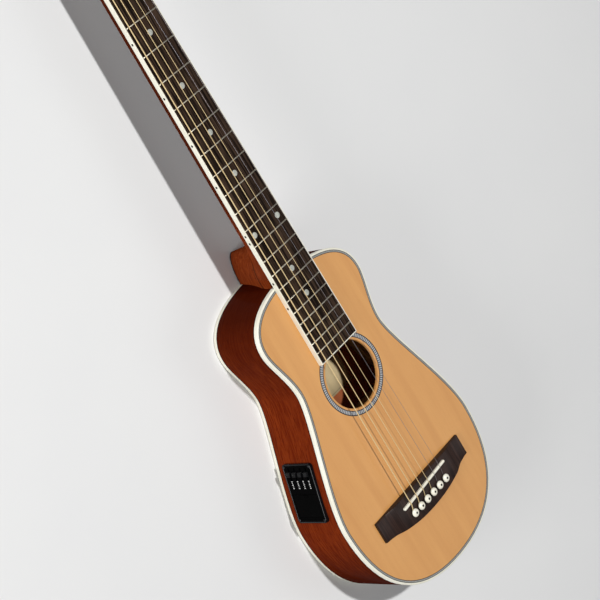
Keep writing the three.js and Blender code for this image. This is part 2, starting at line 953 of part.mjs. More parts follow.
const slotFloor = bridgeHeight - saddleSlotDepth;
const saddleSlot = saddleBar(
  saddleLength + 2 * seatGap,
  saddleThickness + 2 * seatGap,
  slotFloor,
  bridgeHeight + overrun,
);
const bridgeBlank = solidOf(plateBetween(bridgePlan(), level(bridgeHeight + overrun), level(0)));
const bridge = cutAway(bridgeBlank.intersect(bridgeProfile()), [
  solidOf(saddleSlot),
  ...pinBores(),
  ...stringChannels,
]);
addPiece(guitar, 'bridge', bridge, rosewood);
const pickupTop = slotFloor + seatGap + pickupHeight;
const pickup = saddleBar(saddleLength, saddleThickness, slotFloor + seatGap, pickupTop);
addPiece(guitar, 'saddle_pickup', pickup, pickupMetal);
const saddle = saddleBar(saddleLength, saddleThickness, pickupTop + seatGap, saddleTop);
addPiece(guitar, 'saddle', saddle, ivoryPlastic);

// Bridge pins, each head hollowed underneath so that the string passes below its rim

function bridgePin(index) {
  const seat = bridgeHeight + seatGap;
  const rim = seat + pinCollarHeight;
  const dome = pinHeadHeight - pinCollarHeight;
  const profile = [
    [0, seat - pinLength],
    [pinTipRadius, seat - pinLength],
    [pinRadius, seat],
    [pinHeadRadius, rim],
    [pinHeadRadius * Math.cos(Math.PI / 6), rim + dome * Math.sin(Math.PI / 4)],
    [0, rim + dome],
  ];
  const points = profile.map(([radius, height]) => new THREE.Vector2(radius, height));
  const geometry = new THREE.LatheGeometry(points, pinSegments);
  geometry.rotateX(Math.PI / 2);
  geometry.translate(pinX, acrossAt(index, bridgeStringSpan), 0);
  return geometry;
}

for (let index = 0; index < stringCount; index += 1) {
  addPiece(guitar, `bridge_pin_${index + 1}`, bridgePin(index), ivoryPlastic);
}

// Fingerboard with its frets standing in it, and the binding round it

function boardPlan(inset, end) {
  const [nutHalf, endHalf] = [boardHalfWidth(0) - inset, boardHalfWidth(end) - inset];
  return [
    new THREE.Vector2(0, -nutHalf),
    new THREE.Vector2(end, -endHalf),
    new THREE.Vector2(end, endHalf),
    new THREE.Vector2(0, nutHalf),
  ];
}

function fretBar(number) {
  const x = fretPlace(number);
  const half = boardHalfWidth(x) - boardBinding - seatGap;
  const [top, foot] = [boardTop + fretHeight, boardTop - fretSlotDepth];
  const shape = new THREE.Shape();
  shape.moveTo(x - fretWidth / 2, foot);
  shape.lineTo(x + fretWidth / 2, foot);
  shape.lineTo(x + fretWidth / 2, boardTop + fretHeight / 3);
  shape.lineTo(x + fretWidth / 4, top);
  shape.lineTo(x - fretWidth / 4, top);
  shape.lineTo(x - fretWidth / 2, boardTop + fretHeight / 3);
  const geometry = new THREE.ExtrudeGeometry(shape, { depth: 2 * half, bevelEnabled: false });
  geometry.rotateX(Math.PI / 2);
  geometry.translate(0, half, 0);
  return solidOf(geometry);
}

const boardWoodEnd = boardLength - boardBinding - seatGap;
const boardPlate = solidOf(
  plateBetween(boardPlan(boardBinding + seatGap, boardWoodEnd), level(boardTop), level(seatGap)),
);
const fretBars = [];
for (let number = 1; number <= fretCount; number += 1) fretBars.push(fretBar(number));
addPiece(guitar, 'fingerboard', union([boardPlate, ...fretBars]), rosewood);

const bindingOuter = solidOf(
  plateBetween(boardPlan(0, boardLength), level(boardTop), level(seatGap)),
);
const bindingInner = plateBetween(
  [
    new THREE.Vector2(-overrun, -boardHalfWidth(-overrun) + boardBinding),
    new THREE.Vector2(boardLength - boardBinding, -boardHalfWidth(boardLength) + boardBinding),
    new THREE.Vector2(boardLength - boardBinding, boardHalfWidth(boardLength) - boardBinding),
    new THREE.Vector2(-overrun, boardHalfWidth(-overrun) - boardBinding),
  ],
  level(boardTop + overrun),
  level(-overrun),
);
const boardEdge = bindingOuter.subtract(solidOf(bindingInner));
addPiece(guitar, 'fingerboard_binding', boardEdge, cream);

// Nut
const nutTop = nutStringLevel + stringDiameters[stringCount - 1] / 2;
const nutHalf = boardWidthAtNut / 2;
const nutBlock = solidOf(
  spanBlock([-nutThickness, -nutHalf, seatGap], [-seatGap, nutHalf, nutTop]),
);
addPiece(guitar, 'nut', cutAway(nutBlock, stringChannels), ivoryPlastic);

// Neck: shaft, headstock and the upper part of the heel in one piece of wood

headstock.position.set(-nutThickness, 0, faceLevel);
headstock.rotation.y = -headTilt;
headstock.updateMatrix();

function headShape(inset) {
  const shoulder = headShoulderWidth / 2 - inset;
  const end = headEndWidth / 2 - inset;
  const tip = headTipWidth / 2 - inset;
  const root = boardWidthAtNut / 2 - inset;
  const length = headLength - inset;
  const corner = length - headCornerLength;
  const shape = new THREE.Shape();
  shape.moveTo(0, -root);
  shape.lineTo(0, root);
  const half = -headShoulderLength / 2;
  shape.bezierCurveTo(half, root, half, shoulder, -headShoulderLength, shoulder);
  shape.lineTo(-corner, end);
  shape.quadraticCurveTo(-length, end, -length, tip);
  shape.quadraticCurveTo(-length - headTipArch, 0, -length, -tip);
  shape.quadraticCurveTo(-length, -end, -corner, -end);
  shape.lineTo(-headShoulderLength, -shoulder);
  shape.bezierCurveTo(half, -shoulder, half, -root, 0, -root);
  return shape;
}

function headPlate(inset, bottom, top) {
  const options = { depth: top - bottom, bevelEnabled: false, curveSegments: headCurveSteps };
  const geometry = new THREE.ExtrudeGeometry(headShape(inset), options);
  geometry.translate(0, 0, bottom);
  return geometry;
}

function neckTop(x) {
  const past = Math.max(-nutThickness - x, 0);
  return past > 0 ? faceLevel - past * Math.tan(headTilt) - headFaceDrop : 0;
}

function neckDepth(x) {
  const behind = Math.max(-x, 0) / volute;
  const share = Math.max(x, 0) / neckEndX;
  return (neckDepthAtNut + (neckDepthAtHeel - neckDepthAtNut) * share) * (1 - voluteThinningShare * behind);
}

function neckShaft() {
  const shape = new THREE.Shape();
  shape.moveTo(0, -1);
  shape.lineTo(0, 1);
  for (let i = 1; i < neckSides; i += 1) {
    const turn = (i / neckSides) * Math.PI;
    shape.lineTo(Math.sin(turn) ** neckRoundnessShare, Math.cos(turn));
  }
  const options = { depth: 1, steps: neckSteps, bevelEnabled: false };
  const geometry = new THREE.ExtrudeGeometry(shape, options);
  const position = geometry.attributes.position;
  const [start, end] = [-volute, neckEndX + overrun];
  for (let i = 0; i < position.count; i += 1) {
    const x = start + (end - start) * position.getZ(i);
    const y = position.getY(i) * boardHalfWidth(Math.max(x, 0));
    const z = neckTop(x) - position.getX(i) * neckDepth(x);
    position.setXYZ(i, x, y, z);
  }
  return solidOf(geometry);
}

function heelToe(drop) {
  const past = drop - neckDepthAtHeel;
  const leanShare = past / (depthAtNeck - neckDepthAtHeel);
  const toe = neckEndX - heelToeReach - heelToeLean * (1 - leanShare);
  if (past >= heelFillet) return toe;
  const up = heelFillet - Math.max(past, 0);
  return toe - heelFillet + Math.sqrt(heelFillet ** 2 - up ** 2);
}

function heelHalfWidth(drop) {
  const share = (drop - neckDepthAtHeel) / (depthAtNeck - neckDepthAtHeel);
  const left = 1 - Math.min(Math.max(share, 0), 1);
  return (heelBackWidth + (heelTopWidth - heelBackWidth) * left ** heelFlareShare) / 2;
}

// Heel blank between two depths below the soundboard's face
function heelBlank(topDrop, bottomDropAt) {
  const shape = new THREE.Shape();
  shape.moveTo(1, -1);
  shape.lineTo(1 + overrun / heelToeReach, -1);
  shape.lineTo(1 + overrun / heelToeReach, 1);
  shape.lineTo(1, 1);
  for (let i = 1; i < neckSides; i += 1) {
    const turn = (i / neckSides) * Math.PI;
    shape.lineTo(1 - Math.sin(turn), Math.cos(turn));
  }
  const options = { depth: 1, steps: heelLevels, bevelEnabled: false };
  const geometry = new THREE.ExtrudeGeometry(shape, options);
  const position = geometry.attributes.position;
  for (let i = 0; i < position.count; i += 1) {
    const share = 1 - position.getZ(i);
    const guess = topDrop + (depthAtNeck - topDrop) * share;
    const toe = heelToe(guess);
    const x = toe + position.getX(i) * (neckEndX - toe);
    const y = position.getY(i) * heelHalfWidth(guess);
    position.setXYZ(i, x, y, -(topDrop + (bottomDropAt(x) - topDrop) * share));
  }
  return solidOf(geometry);
}

function capBottom(x) {
  return depthAt(x) - seatGap;
}
function heelBottom(x) {
  return capBottom(x) - heelCapThickness - seatGap;
}

const bodySpace = outlinePrism(-seatGap);
const reach = scaleLength;
function above(height) {
  return solidOf(spanBlock([-reach, -reach, height], [reach, reach, reach]));
}

function below(height) {
  return solidOf(spanBlock([-reach, -reach, -reach], [reach, reach, height]));
}

const heelWhole = heelBlank(neckDepthAtHeel / 2, heelBottom);
const heelUpper = heelWhole.subtract(below(-heelStackDepth));
const heelLower = heelWhole.subtract(above(-heelStackDepth - seatGap));
const headWood = headPlate(0, -headThickness, 0);
headWood.applyMatrix4(headstock.matrix);
const boardSpace = solidOf(
  spanBlock([-nutThickness - seatGap, -reach, 0], [reach, reach, reach]),
);

function postBore(along, across) {
  return upright(
    sleeveRadius + seatGap,
    -headThickness - overrun,
    veneerTop + overrun,
    -along,
    across,
    postSegments,
  );
}

const postPlaces = tunerPlaces.flatMap((along) => {
  return [[along, tunerRowSpan / 2], [along, -tunerRowSpan / 2]];
});
const headBores = postPlaces.map(([along, across]) => {
  const geometry = postBore(along, across);
  geometry.applyMatrix4(headstock.matrix);
  return solidOf(geometry);
});
const neckWood = union([neckShaft(), solidOf(headWood), heelUpper]);
const neckCuts = [boardSpace, bodySpace, rodSlot(rodStart - seatGap, holeX), ...headBores];
addPiece(guitar, 'neck', cutAway(neckWood, neckCuts), neckMahogany);
addPiece(guitar, 'heel', heelLower.subtract(bodySpace), neckMahogany);

function heelCapPlan() {
  const half = heelBackWidth / 2;
  const toe = heelToe(depthAtNeck);
  const length = neckEndX - toe;
  const points = [];
  for (let i = 0; i <= neckSides; i += 1) {
    const turn = (i / neckSides) * Math.PI;
    const x = neckEndX - length * Math.sin(turn);
    points.push(new THREE.Vector2(x, half * Math.cos(turn)));
  }
  points.push(new THREE.Vector2(neckEndX + overrun, -half));
  points.push(new THREE.Vector2(neckEndX + overrun, half));
  return points;
}

const heelCap = solidOf(
  plateBetween(heelCapPlan(), (x) => heelCapThickness - capBottom(x), (x) => -capBottom(x)),
);
addPiece(guitar, 'heel_cap', heelCap.subtract(bodySpace), rosewood);

// Truss rod, adjusted through the sound hole
const rodEnd = holeX - holeRadius - overrun;
const rodTop = -seatGap;
const rodBody = solidOf(
  spanBlock([rodStart, -rodWidth / 2, rodTop - rodHeight], [rodEnd, rodWidth / 2, rodTop]),
);
const rodSocket = new THREE.CylinderGeometry(
  rodSocketRadius,
  rodSocketRadius,
  2 * rodSocketDepth,
  rodSocketSides,
);
rodSocket.rotateZ(Math.PI / 2);
rodSocket.translate(rodEnd, 0, rodTop - rodHeight / 2);
addPiece(guitar, 'truss_rod', rodBody.subtract(solidOf(rodSocket)), steel);

// Headstock veneer
const veneerStart = solidOf(
  block(overrun, headShoulderWidth, overrun, overrun / 2 - seatGap, 0, veneerTop),
);
const veneerPlate = headPlate(0, seatGap, veneerTop);
const veneerBores = postPlaces.map(([along, across]) => solidOf(postBore(along, across)));
const veneer = cutAway(solidOf(veneerPlate), [veneerStart, ...veneerBores]);
addPiece(headstock, 'headstock_veneer', veneer, blackGloss);

// Tuner plates with sleeves through the headstock and ears for the worm shafts

function tunerPlate(side) {
  const across = (side * tunerRowSpan) / 2;
  const first = tunerPlaces[0] - tunerPlateMargin;
  const last = tunerPlaces[tunerPlaces.length - 1] + tunerPlateMargin + wormOffset;
  const plate = solidOf(
    block(
      last - first,
      tunerPlateWidth,
      tunerPlateThickness,
      -(first + last) / 2,
      across,
      plateTop - tunerPlateThickness / 2,
    ),
  );
  const solids = [plate];
  const cuts = [];
  const plateBottom = plateTop - tunerPlateThickness;
  for (const along of tunerPlaces) {
    const sleeveTop = veneerTop + sleeveRise;
    const boreRadius = postRadius + runningGap;
    const [low, high] = [plateBottom - overrun, sleeveTop + overrun];
    const sleeve = upright(sleeveRadius, plateTop - seatGap, sleeveTop, -along, across, postSegments);
    solids.push(solidOf(sleeve));
    cuts.push(solidOf(upright(boreRadius, low, high, -along, across, postSegments)));
    for (const end of [-1, 1]) {
      const earY = across + (end * earPitch) / 2;
      const earZ = plateBottom - earDrop / 2 + seatGap;
      const ear = block(earWidth, earThickness, earDrop, -along - wormOffset, earY, earZ);
      solids.push(solidOf(ear));
    }
    const axleHole = new THREE.CylinderGeometry(
      wormShaftRadius + runningGap,
      wormShaftRadius + runningGap,
      2 * earPitch,
      postSegments,
    );
    axleHole.translate(-along - wormOffset, across, wormLevel);
    cuts.push(solidOf(axleHole));
  }
  return cutAway(union(solids), cuts);
}

addPiece(headstock, 'tuner_plate_treble', tunerPlate(1), chrome);
addPiece(headstock, 'tuner_plate_bass', tunerPlate(-1), chrome);

function gearWheel() {
  const shape = new THREE.Shape();
  for (let tooth = 0; tooth < gearTeeth; tooth += 1) {
    gearToothShares.forEach((share, corner) => {
      const turn = ((tooth + share) / gearTeeth) * 2 * Math.PI;
      const crowned = corner < gearToothShares.length / 2;
      const radius = crowned ? gearRadius : gearRadius - gearToothDepth;
      const [x, y] = [radius * Math.cos(turn), radius * Math.sin(turn)];
      if (tooth === 0 && corner === 0) shape.moveTo(x, y);
      else shape.lineTo(x, y);
    });
  }
  const options = { depth: gearThickness, bevelEnabled: false };
  const geometry = new THREE.ExtrudeGeometry(shape, options);
  geometry.translate(0, 0, gearTop - gearThickness);
  return solidOf(geometry);
}

function tunerPost() {
  const gearBottom = gearTop - gearThickness;
  const profile = [
    [0, gearBottom - gearScrewHeight],
    [gearScrewRadius, gearBottom - gearScrewHeight],
    [gearScrewRadius, gearBottom + seatGap],
    [postRadius, gearBottom + seatGap],
    [postRadius, postTop],
    [0, postTop],
  ];
  const points = profile.map(([radius, height]) => new THREE.Vector2(radius, height));
  const stem = new THREE.LatheGeometry(points, postSegments);
  stem.rotateX(Math.PI / 2);
  const hole = new THREE.CylinderGeometry(
    stringHoleRadius,
    stringHoleRadius,
    4 * postRadius,
    postSegments,
  );
  hole.translate(0, 0, postTop - 4 * stringHoleRadius);
  return solidOf(stem).add(gearWheel()).subtract(solidOf(hole));
}

function tunerButton(side) {
  const wormLength = earPitch - earThickness - 2 * runningGap;
  const headHalf = headEndWidth / 2;
  const buttonStart = headHalf - tunerRowSpan / 2 + buttonReach;
  const shaftStart = -(earPitch + earThickness) / 2 - seatGap;
  const turned = (radius, from, to) => {
    const geometry = new THREE.CylinderGeometry(radius, radius, to - from, postSegments);
    geometry.translate(0, side * (from + to) / 2, 0);
    return solidOf(geometry);
  };
  const knob = new THREE.SphereGeometry(1, buttonSegments, buttonRings);
  knob.rotateX(Math.PI / 2);
  knob.scale(buttonHeight / 2, buttonLength / 2, buttonThickness / 2);
  const knobMiddle = buttonStart + buttonCollarLength / 2 + buttonLength / 2;
  knob.translate(0, side * knobMiddle, 0);
  return union([
    turned(wormShaftRadius, shaftStart, buttonStart + buttonCollarLength),
    turned(wormRadius, -wormLength / 2, wormLength / 2),
    turned(buttonCollarRadius, buttonStart, buttonStart + buttonCollarLength),
    solidOf(knob),
  ]);
}

for (let index = 0; index < stringCount; index += 1) {
  const { treble, along, across } = tunerOf(index);
  const post = addPiece(headstock, `tuner_post_${index + 1}`, tunerPost(), chrome);
  post.position.set(-along, across, 0);
  const knob = addPiece(headstock, `tuner_button_${index + 1}`, tunerButton(treble ? 1 : -1), cream);
  knob.position.set(-along - wormOffset, across, wormLevel);
}

// Preamp: bezel shaped to the side's curve, housing, and a well for the battery

const bezelFace = -preampProud;
const doorMiddle = doorEdgePlace - doorLength / 2;
const doorFace = bezelFace + seatGap;
const hingeLevel = doorFace + doorThickness / 2;
const wellHeight = batteryHeight + 2 * batteryClearance;
const wellLength = batteryThickness + 2 * batteryClearance;
const wellDepth = batteryLength + batteryClearance;
const bodyInPreampFrame = bodySpace.transform(preampMatrix.clone().invert().elements);

function centredBlock(lengthX, lengthZ, x, z, y0, y1) {
  const low = [x - lengthX / 2, y0, z - lengthZ / 2];
  const high = [x + lengthX / 2, y1, z + lengthZ / 2];
  return solidOf(spanBlock(low, high));
}

const faderX = -faderPlace;
const bezelBlank = solidOf(
  roundedBlock(preampLength, preampHeight, preampCorner, bezelFace, preampProud),
);
const housing = solidOf(
  roundedBlock(housingLength, housingHeight, windowCorner - seatGap, bezelFace + seatGap, preampDepth),
);
const batteryWell = centredBlock(
  wellLength + 2 * preampWall,
  wellHeight + 2 * preampWall,
  doorMiddle,
  0,
  preampDepth - preampWall,
  wellDepth + preampWall,
);
const wellSpace = centredBlock(wellLength, wellHeight, doorMiddle, 0, bezelFace, wellDepth);
const doorSpace = centredBlock(
  doorLength + 2 * runningGap,
  doorHeight + 2 * runningGap,
  doorMiddle,
  0,
  bezelFace - overrun,
  doorFace + doorThickness + runningGap,
);
const barrelSpace = new THREE.CylinderGeometry(
  doorBarrelRadius + runningGap,
  doorBarrelRadius + runningGap,
  doorHeight + 2 * runningGap,
  postSegments,
);
barrelSpace.rotateX(Math.PI / 2);
barrelSpace.translate(doorEdgePlace, hingeLevel, 0);
const controlSpace = centredBlock(
  housingLength / 2 - 2 * preampWall,
  housingHeight - 2 * preampWall,
  -housingLength / 4,
  0,
  preampWall,
  preampDepth + overrun,
);
const faderSlots = [];
for (let index = 0; index < faderCount; index += 1) {
  const z = (index - (faderCount - 1) / 2) * faderPitch;
  faderSlots.push(
    centredBlock(faderSlotLength, faderSlotWidth, faderX, z, bezelFace - overrun, preampWall + overrun),
  );
}
const preampBody = cutAway(
  union([bezelBlank.subtract(bodyInPreampFrame), housing, batteryWell]),
  [wellSpace, doorSpace, solidOf(barrelSpace), controlSpace, ...faderSlots],
);
addPiece(preampGroup, 'preamp', preampBody, blackPlastic);

const doorPlate = centredBlock(
  doorLength - doorBarrelRadius,
  doorHeight,
  doorMiddle - doorBarrelRadius / 2,
  0,
  doorFace,
  doorFace + doorThickness,
);
const doorBarrel = new THREE.CylinderGeometry(
  doorBarrelRadius,
  doorBarrelRadius,
  doorHeight,
  postSegments,
);
doorBarrel.rotateX(Math.PI / 2);
doorBarrel.translate(doorEdgePlace, hingeLevel, 0);
const doorNeck = centredBlock(
  2 * doorBarrelRadius,
  doorHeight,
  doorEdgePlace - doorBarrelRadius,
  0,
  hingeLevel - doorThickness / 4,
  hingeLevel + doorThickness / 4,
);
const doorPull = centredBlock(
  doorPullLength / 4,
  doorPullLength,
  doorEdgePlace - doorLength + doorPullLength / 4,
  0,
  doorFace - doorThickness / 2,
  doorFace + doorThickness / 2,
);
const door = union([doorPlate, solidOf(doorBarrel), doorNeck, doorPull]);
addPiece(preampGroup, 'battery_door', door, blackPlastic);

const battery = roundedBlock(
  batteryThickness,
  batteryHeight,
  batteryCorner,
  doorFace + doorThickness + 2 * runningGap,
  wellDepth - seatGap,
);
battery.translate(doorMiddle, 0, 0);
addPiece(preampGroup, 'battery', battery, batteryBlue);

for (let index = 0; index < faderCount; index += 1) {
  const z = (index - (faderCount - 1) / 2) * faderPitch;
  const knobBack = bezelFace - runningGap;
  const cap = centredBlock(
    faderKnobLength,
    faderKnobWidth,
    faderX,
    z,
    knobBack - faderKnobHeight,
    knobBack,
  );
  const stem = centredBlock(
    faderKnobLength / 2,
    faderSlotWidth - 2 * runningGap,
    faderX,
    z,
    knobBack - seatGap,
    knobBack + faderStemDepth,
  );
  addPiece(preampGroup, `fader_${index + 1}`, cap.add(stem), blackPlastic);
}

// End pin jack, which is also the strap button
const jackFront = seatGap;
const jackBack = -tailBlockLength - seatGap;
const jackProfile = [
  [jackBoreRadius, jackBack - jackNutThickness],
  [jackNutRadius, jackBack - jackNutThickness],
  [jackNutRadius, jackBack],
  [jackBarrelRadius, jackBack],
  [jackBarrelRadius, jackFront],
  [jackFlangeRadius, jackFront],
  [jackFlangeRadius, jackFront + jackFlangeThickness],
  [jackWaistRadius, jackFront + jackFlangeThickness],
  [jackWaistRadius, jackFront + jackFlangeThickness + jackWaistLength],
  [jackRimRadius, jackFront + jackFlangeThickness + jackWaistLength],
  [jackRimRadius, jackFront + jackFlangeThickness + jackWaistLength + jackRimThickness],
  [jackBoreRadius, jackFront + jackFlangeThickness + jackWaistLength + jackRimThickness],
  [jackBoreRadius, jackBack - jackNutThickness],
];
const jackPoints = jackProfile.map(([radius, height]) => new THREE.Vector2(radius, height));
const jack = new THREE.LatheGeometry(jackPoints, jackSegments);
jack.rotateZ(-Math.PI / 2);
jack.translate(tailX, 0, -jackDrop);
addPiece(guitar, 'end_pin_jack', jack, chrome);

// Lay the guitar on its back: the back is level at z = 0 and the box is centred on x and y
guitar.add(headstock);
guitar.add(preampGroup);
guitar.rotation.y = -taperAngle;
guitar.updateMatrixWorld(true);
const laid = new THREE.Box3().setFromObject(guitar, true);
guitar.position.set(-(laid.min.x + laid.max.x) / 2, -(laid.min.y + laid.max.y) / 2, -laid.min.z);
guitar.updateMatrixWorld(true);

export default guitar;
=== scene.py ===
import math

import bmesh
import bpy
from mathutils import Matrix, Vector


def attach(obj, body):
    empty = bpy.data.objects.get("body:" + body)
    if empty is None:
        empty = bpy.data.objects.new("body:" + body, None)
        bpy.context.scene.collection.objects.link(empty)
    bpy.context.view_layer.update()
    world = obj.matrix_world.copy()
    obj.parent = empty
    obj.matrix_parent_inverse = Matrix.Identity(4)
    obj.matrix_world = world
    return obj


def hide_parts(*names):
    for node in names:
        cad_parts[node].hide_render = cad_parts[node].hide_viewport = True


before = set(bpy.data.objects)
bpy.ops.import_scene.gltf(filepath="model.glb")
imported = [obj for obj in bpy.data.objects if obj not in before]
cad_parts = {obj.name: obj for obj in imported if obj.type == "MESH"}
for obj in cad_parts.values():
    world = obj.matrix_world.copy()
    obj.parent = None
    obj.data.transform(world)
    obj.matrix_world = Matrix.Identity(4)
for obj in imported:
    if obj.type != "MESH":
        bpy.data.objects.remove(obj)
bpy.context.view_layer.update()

# Camera
# A long lens above the bass side of the tail, turned so that the neck leaves the picture
# at its upper left corner.


def put(name, data):
    """A new object at the origin"""
    made = bpy.data.objects.new(name, data)
    bpy.context.scene.collection.objects.link(made)
    return made


camera_data = bpy.data.cameras.new("camera")
camera_data.lens = 111.04
camera_data.sensor_width = 36
camera_data.clip_start, camera_data.clip_end = 0.05, 40
camera = put("camera", camera_data)
camera_turn = Matrix((
    (0.47825, -0.81579, -0.32500),
    (0.59280, 0.57300, -0.56600),
    (0.64797, 0.07798, 0.75761),
))
camera.rotation_mode = "QUATERNION"
camera.rotation_quaternion = camera_turn.to_quaternion()
camera.location = (-0.47101, -0.99459, 1.38981)
bpy.context.scene.camera = camera
bpy.context.scene.view_settings.view_transform = "Standard"

# Soundboard
# Two plates of straight spruce joined along the middle and planed to three millimetres.
# The sound hole is cut through it, and shallow beds are routed in its face for the
# rosette and for the purfling along its edge.

# Millimetres along the strings from the nut, across from the middle and up from the
# soundboard's face, brought into the row frame
lay = Matrix.Scale(0.001, 4) @ Matrix((
    (0.999784, 0, -0.020763, -271.968381),
    (0, 1, 0, 0.861),
    (0.020763, 0, 0.999784, 59.424255),
    (0, 0, 0, 1),
))
CENTRE_LINE = 0.000861
BODY_START, HOLE_MIDDLE, TAIL = 340.1, 460.8, 686.8


def bezier(t, a, b, c, d):
    """A point on the curve that leaves a towards b and comes to d from c"""
    s = 1 - t
    return a * s**3 + b * 3 * t * s * s + c * 3 * t * t * s + d * t**3


def half_outline(inset=0.0, steps=20):
    """The body's treble half from the tail to the neck, moved inwards by inset"""
    low, waist, up = 577.1, 438.5, 384.5
    wide, narrow, top = 104.1, 65.7, 76.4
    bends = (
        ((TAIL, 0), (TAIL, 65.06), (650.93, wide), (low, wide)),
        ((low, wide), (538.02, wide), (464.14, narrow), (waist, narrow)),
        ((waist, narrow), (419.33, narrow), (399.35, top), (up, top)),
        ((up, top), (348.58, top), (BODY_START, 34.3), (BODY_START, 0)),
    )
    points = []
    for bend in bends:
        a, b, c, d = (Vector(corner) for corner in bend)
        for i in range(steps + (bend is bends[-1])):
            t, s = i / steps, 1 - i / steps
            along = ((b - a) * s * s + (c - b) * 2 * t * s + (d - c) * t * t).normalized()
            points.append(bezier(t, a, b, c, d) + inset * Vector((-along.y, along.x)))
    points[0].y = points[-1].y = 0
    return points


def outline(inset=0.0):
    half = half_outline(inset)
    return half + [Vector((p.x, -p.y)) for p in reversed(half[1:-1])]


def circle(radius, x=HOLE_MIDDLE, y=0.0, count=96):
    turns = (2 * math.pi * i / count for i in range(count))
    return [Vector((x + radius * math.cos(a), y + radius * math.sin(a))) for a in turns]


def at_height(points, height, place=Matrix.Identity(4)):
    """A plan laid at one height, or at what a function gives for each x, and set in its place"""
    rises = [height(p.x) if callable(height) else height for p in points]
    return [place @ Vector((p.x, p.y, rise)) for p, rise in zip(points, rises)]


def levels(plan, steps, place=Matrix.Identity(4)):
    """A plan at the inset or radius, and at the height, that each step gives"""
    return [at_height(plan(size), height, place) for size, height in steps]


def bench():
    """An empty mesh that can note how far along and across a strip each corner lies"""
    bm = bmesh.new()
    bm.verts.layers.float.new("along")
    bm.verts.layers.float.new("across")
    return bm


def run_notes(bm):
    return bm.verts.layers.float["along"], bm.verts.layers.float["across"]


def around(bm, corners):
    """The edges of a ring"""
    return [bm.edges.get((corners[i - 1], corners[i])) for i in range(len(corners))]


def ring(bm, points, across=0.0):
    """A closed run of corners joined by edges"""
    along_layer, across_layer = run_notes(bm)
    run, corners = 0.0, []
    for i, point in enumerate(points):
        run += (point - points[i - 1]).length if i else 0.0
        corner = bm.verts.new(point)
        corner[along_layer], corner[across_layer] = run, across
        corners.append(corner)
    for i in range(len(corners)):
        bm.edges.new((corners[i - 1], corners[i]))
    return corners


def pick(items, kind):
    return [item for item in items if isinstance(item, kind)]


def carry(bm, corners, *stations, across=None):
    """Extrudes a ring and carries it through the rings of points that follow"""
    across_layer = bm.verts.layers.float["across"]
    for number, points in enumerate(stations):
        made = bmesh.ops.extrude_edge_only(bm, edges=around(bm, corners))["geom"]
        fresh = set(pick(made, bmesh.types.BMVert))
        corners = [
            next(e.other_vert(corner) for e in corner.link_edges if e.other_vert(corner) in fresh)
            for corner in corners
        ]
        for corner, point in zip(corners, points):
            corner.co = point
            corner[across_layer] = across[number] if across else 0.0
    return corners


def fill(bm, *rings):
    """Closes the flat face inside one ring or between two"""
    edges = [edge for corners in rings for edge in around(bm, corners)]
    bmesh.ops.triangle_fill(bm, use_beauty=True, edges=edges)


def off_bench(bm, name, material):
    """The worked mesh as an object"""
    mesh = bpy.data.meshes.new(name)
    bm.to_mesh(mesh)
    bm.free()
    mesh.materials.append(material)
    return put(name, mesh)


def finish_piece(bm, name, material, nodes=(), body="guitar", place=lay, sharp=32, shell=False):
    """The worked mesh becomes a piece that rides on its body and stands for its nodes"""
    bmesh.ops.transform(bm, matrix=place, verts=bm.verts)
    if not shell:
        bmesh.ops.recalc_face_normals(bm, faces=bm.faces)
    piece = off_bench(bm, name, material)
    piece.data.shade_smooth()
    piece.data.set_sharp_from_angle(angle=math.radians(sharp))
    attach(piece, body)
    if nodes:
        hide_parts(*nodes)
    return piece


def feed(tree, socket, value):
    """Sets a socket, or links it where the value is another socket"""
    if isinstance(value, bpy.types.NodeSocket):
        tree.links.new(value, socket)
    else:
        socket.default_value = value


def node(tree, kind, **settings):
    """A shader node with its settings and what feeds its sockets"""
    made = tree.nodes.new("ShaderNode" + kind)
    for key, value in settings.items():
        if hasattr(made, key):
            setattr(made, key, value)
        else:
            feed(tree, made.inputs[key.replace("_", " ").title()], value)
    return made


def spot(tree, kind="Object"):
    """Where each point of a piece lies"""
    return node(tree, "TexCoord").outputs[kind]


def maths(tree, operation, *values):
    made = node(tree, "Math", operation=operation)
    for socket, value in zip(made.inputs, values):
        feed(tree, socket, value)
    return made.outputs[0]


def stretched(tree, place, grains, **noise):
    """Noise with so many grains to a metre along each axis"""
    mapping = node(tree, "Mapping", vector_type="POINT", vector=place, scale=grains)
    return node(tree, "TexNoise", vector=mapping.outputs[0], scale=1.0, **noise).outputs["Fac"]


def ramp(tree, source, low, high):
    """0 below low and 1 above high"""
    made = node(tree, "MapRange", clamp=True, value=source, from_min=low, from_max=high)
    return made.outputs["Result"]


def tinted(tree, share, under, over, strength=1.0):
    """The colour under, turned towards the colour over by share times strength"""
    mix = node(tree, "Mix", data_type="RGBA")
    feed(tree, mix.inputs[0], maths(tree, "MULTIPLY", share, strength))
    for socket, colour in ((mix.inputs[6], under), (mix.inputs[7], over)):
        feed(tree, socket, (*colour, 1) if isinstance(colour, tuple) else colour)
    return mix.outputs[2]


def start_material(name, roughness, coat=0.0, gloss=0.5):
    material = bpy.data.materials.new(name)
    material.use_nodes = True
    shader = material.node_tree.nodes["Principled BSDF"]
    shader.inputs["Roughness"].default_value = roughness
    shader.inputs["Specular IOR Level"].default_value = gloss
    shader.inputs["Coat Weight"].default_value = coat
    shader.inputs["Coat Roughness"].default_value = 0.08
    return material, material.node_tree, shader


def surface(tree, shader, colour, relief, strength, depth=0.0001):
    """Colours the shader and raises its skin where relief is high"""
    bump = node(tree, "Bump", strength=strength, distance=depth)
    feed(tree, bump.inputs["Height"], relief)
    feed(tree, shader.inputs["Normal"], bump.outputs["Normal"])
    feed(tree, shader.inputs["Base Color"], colour)


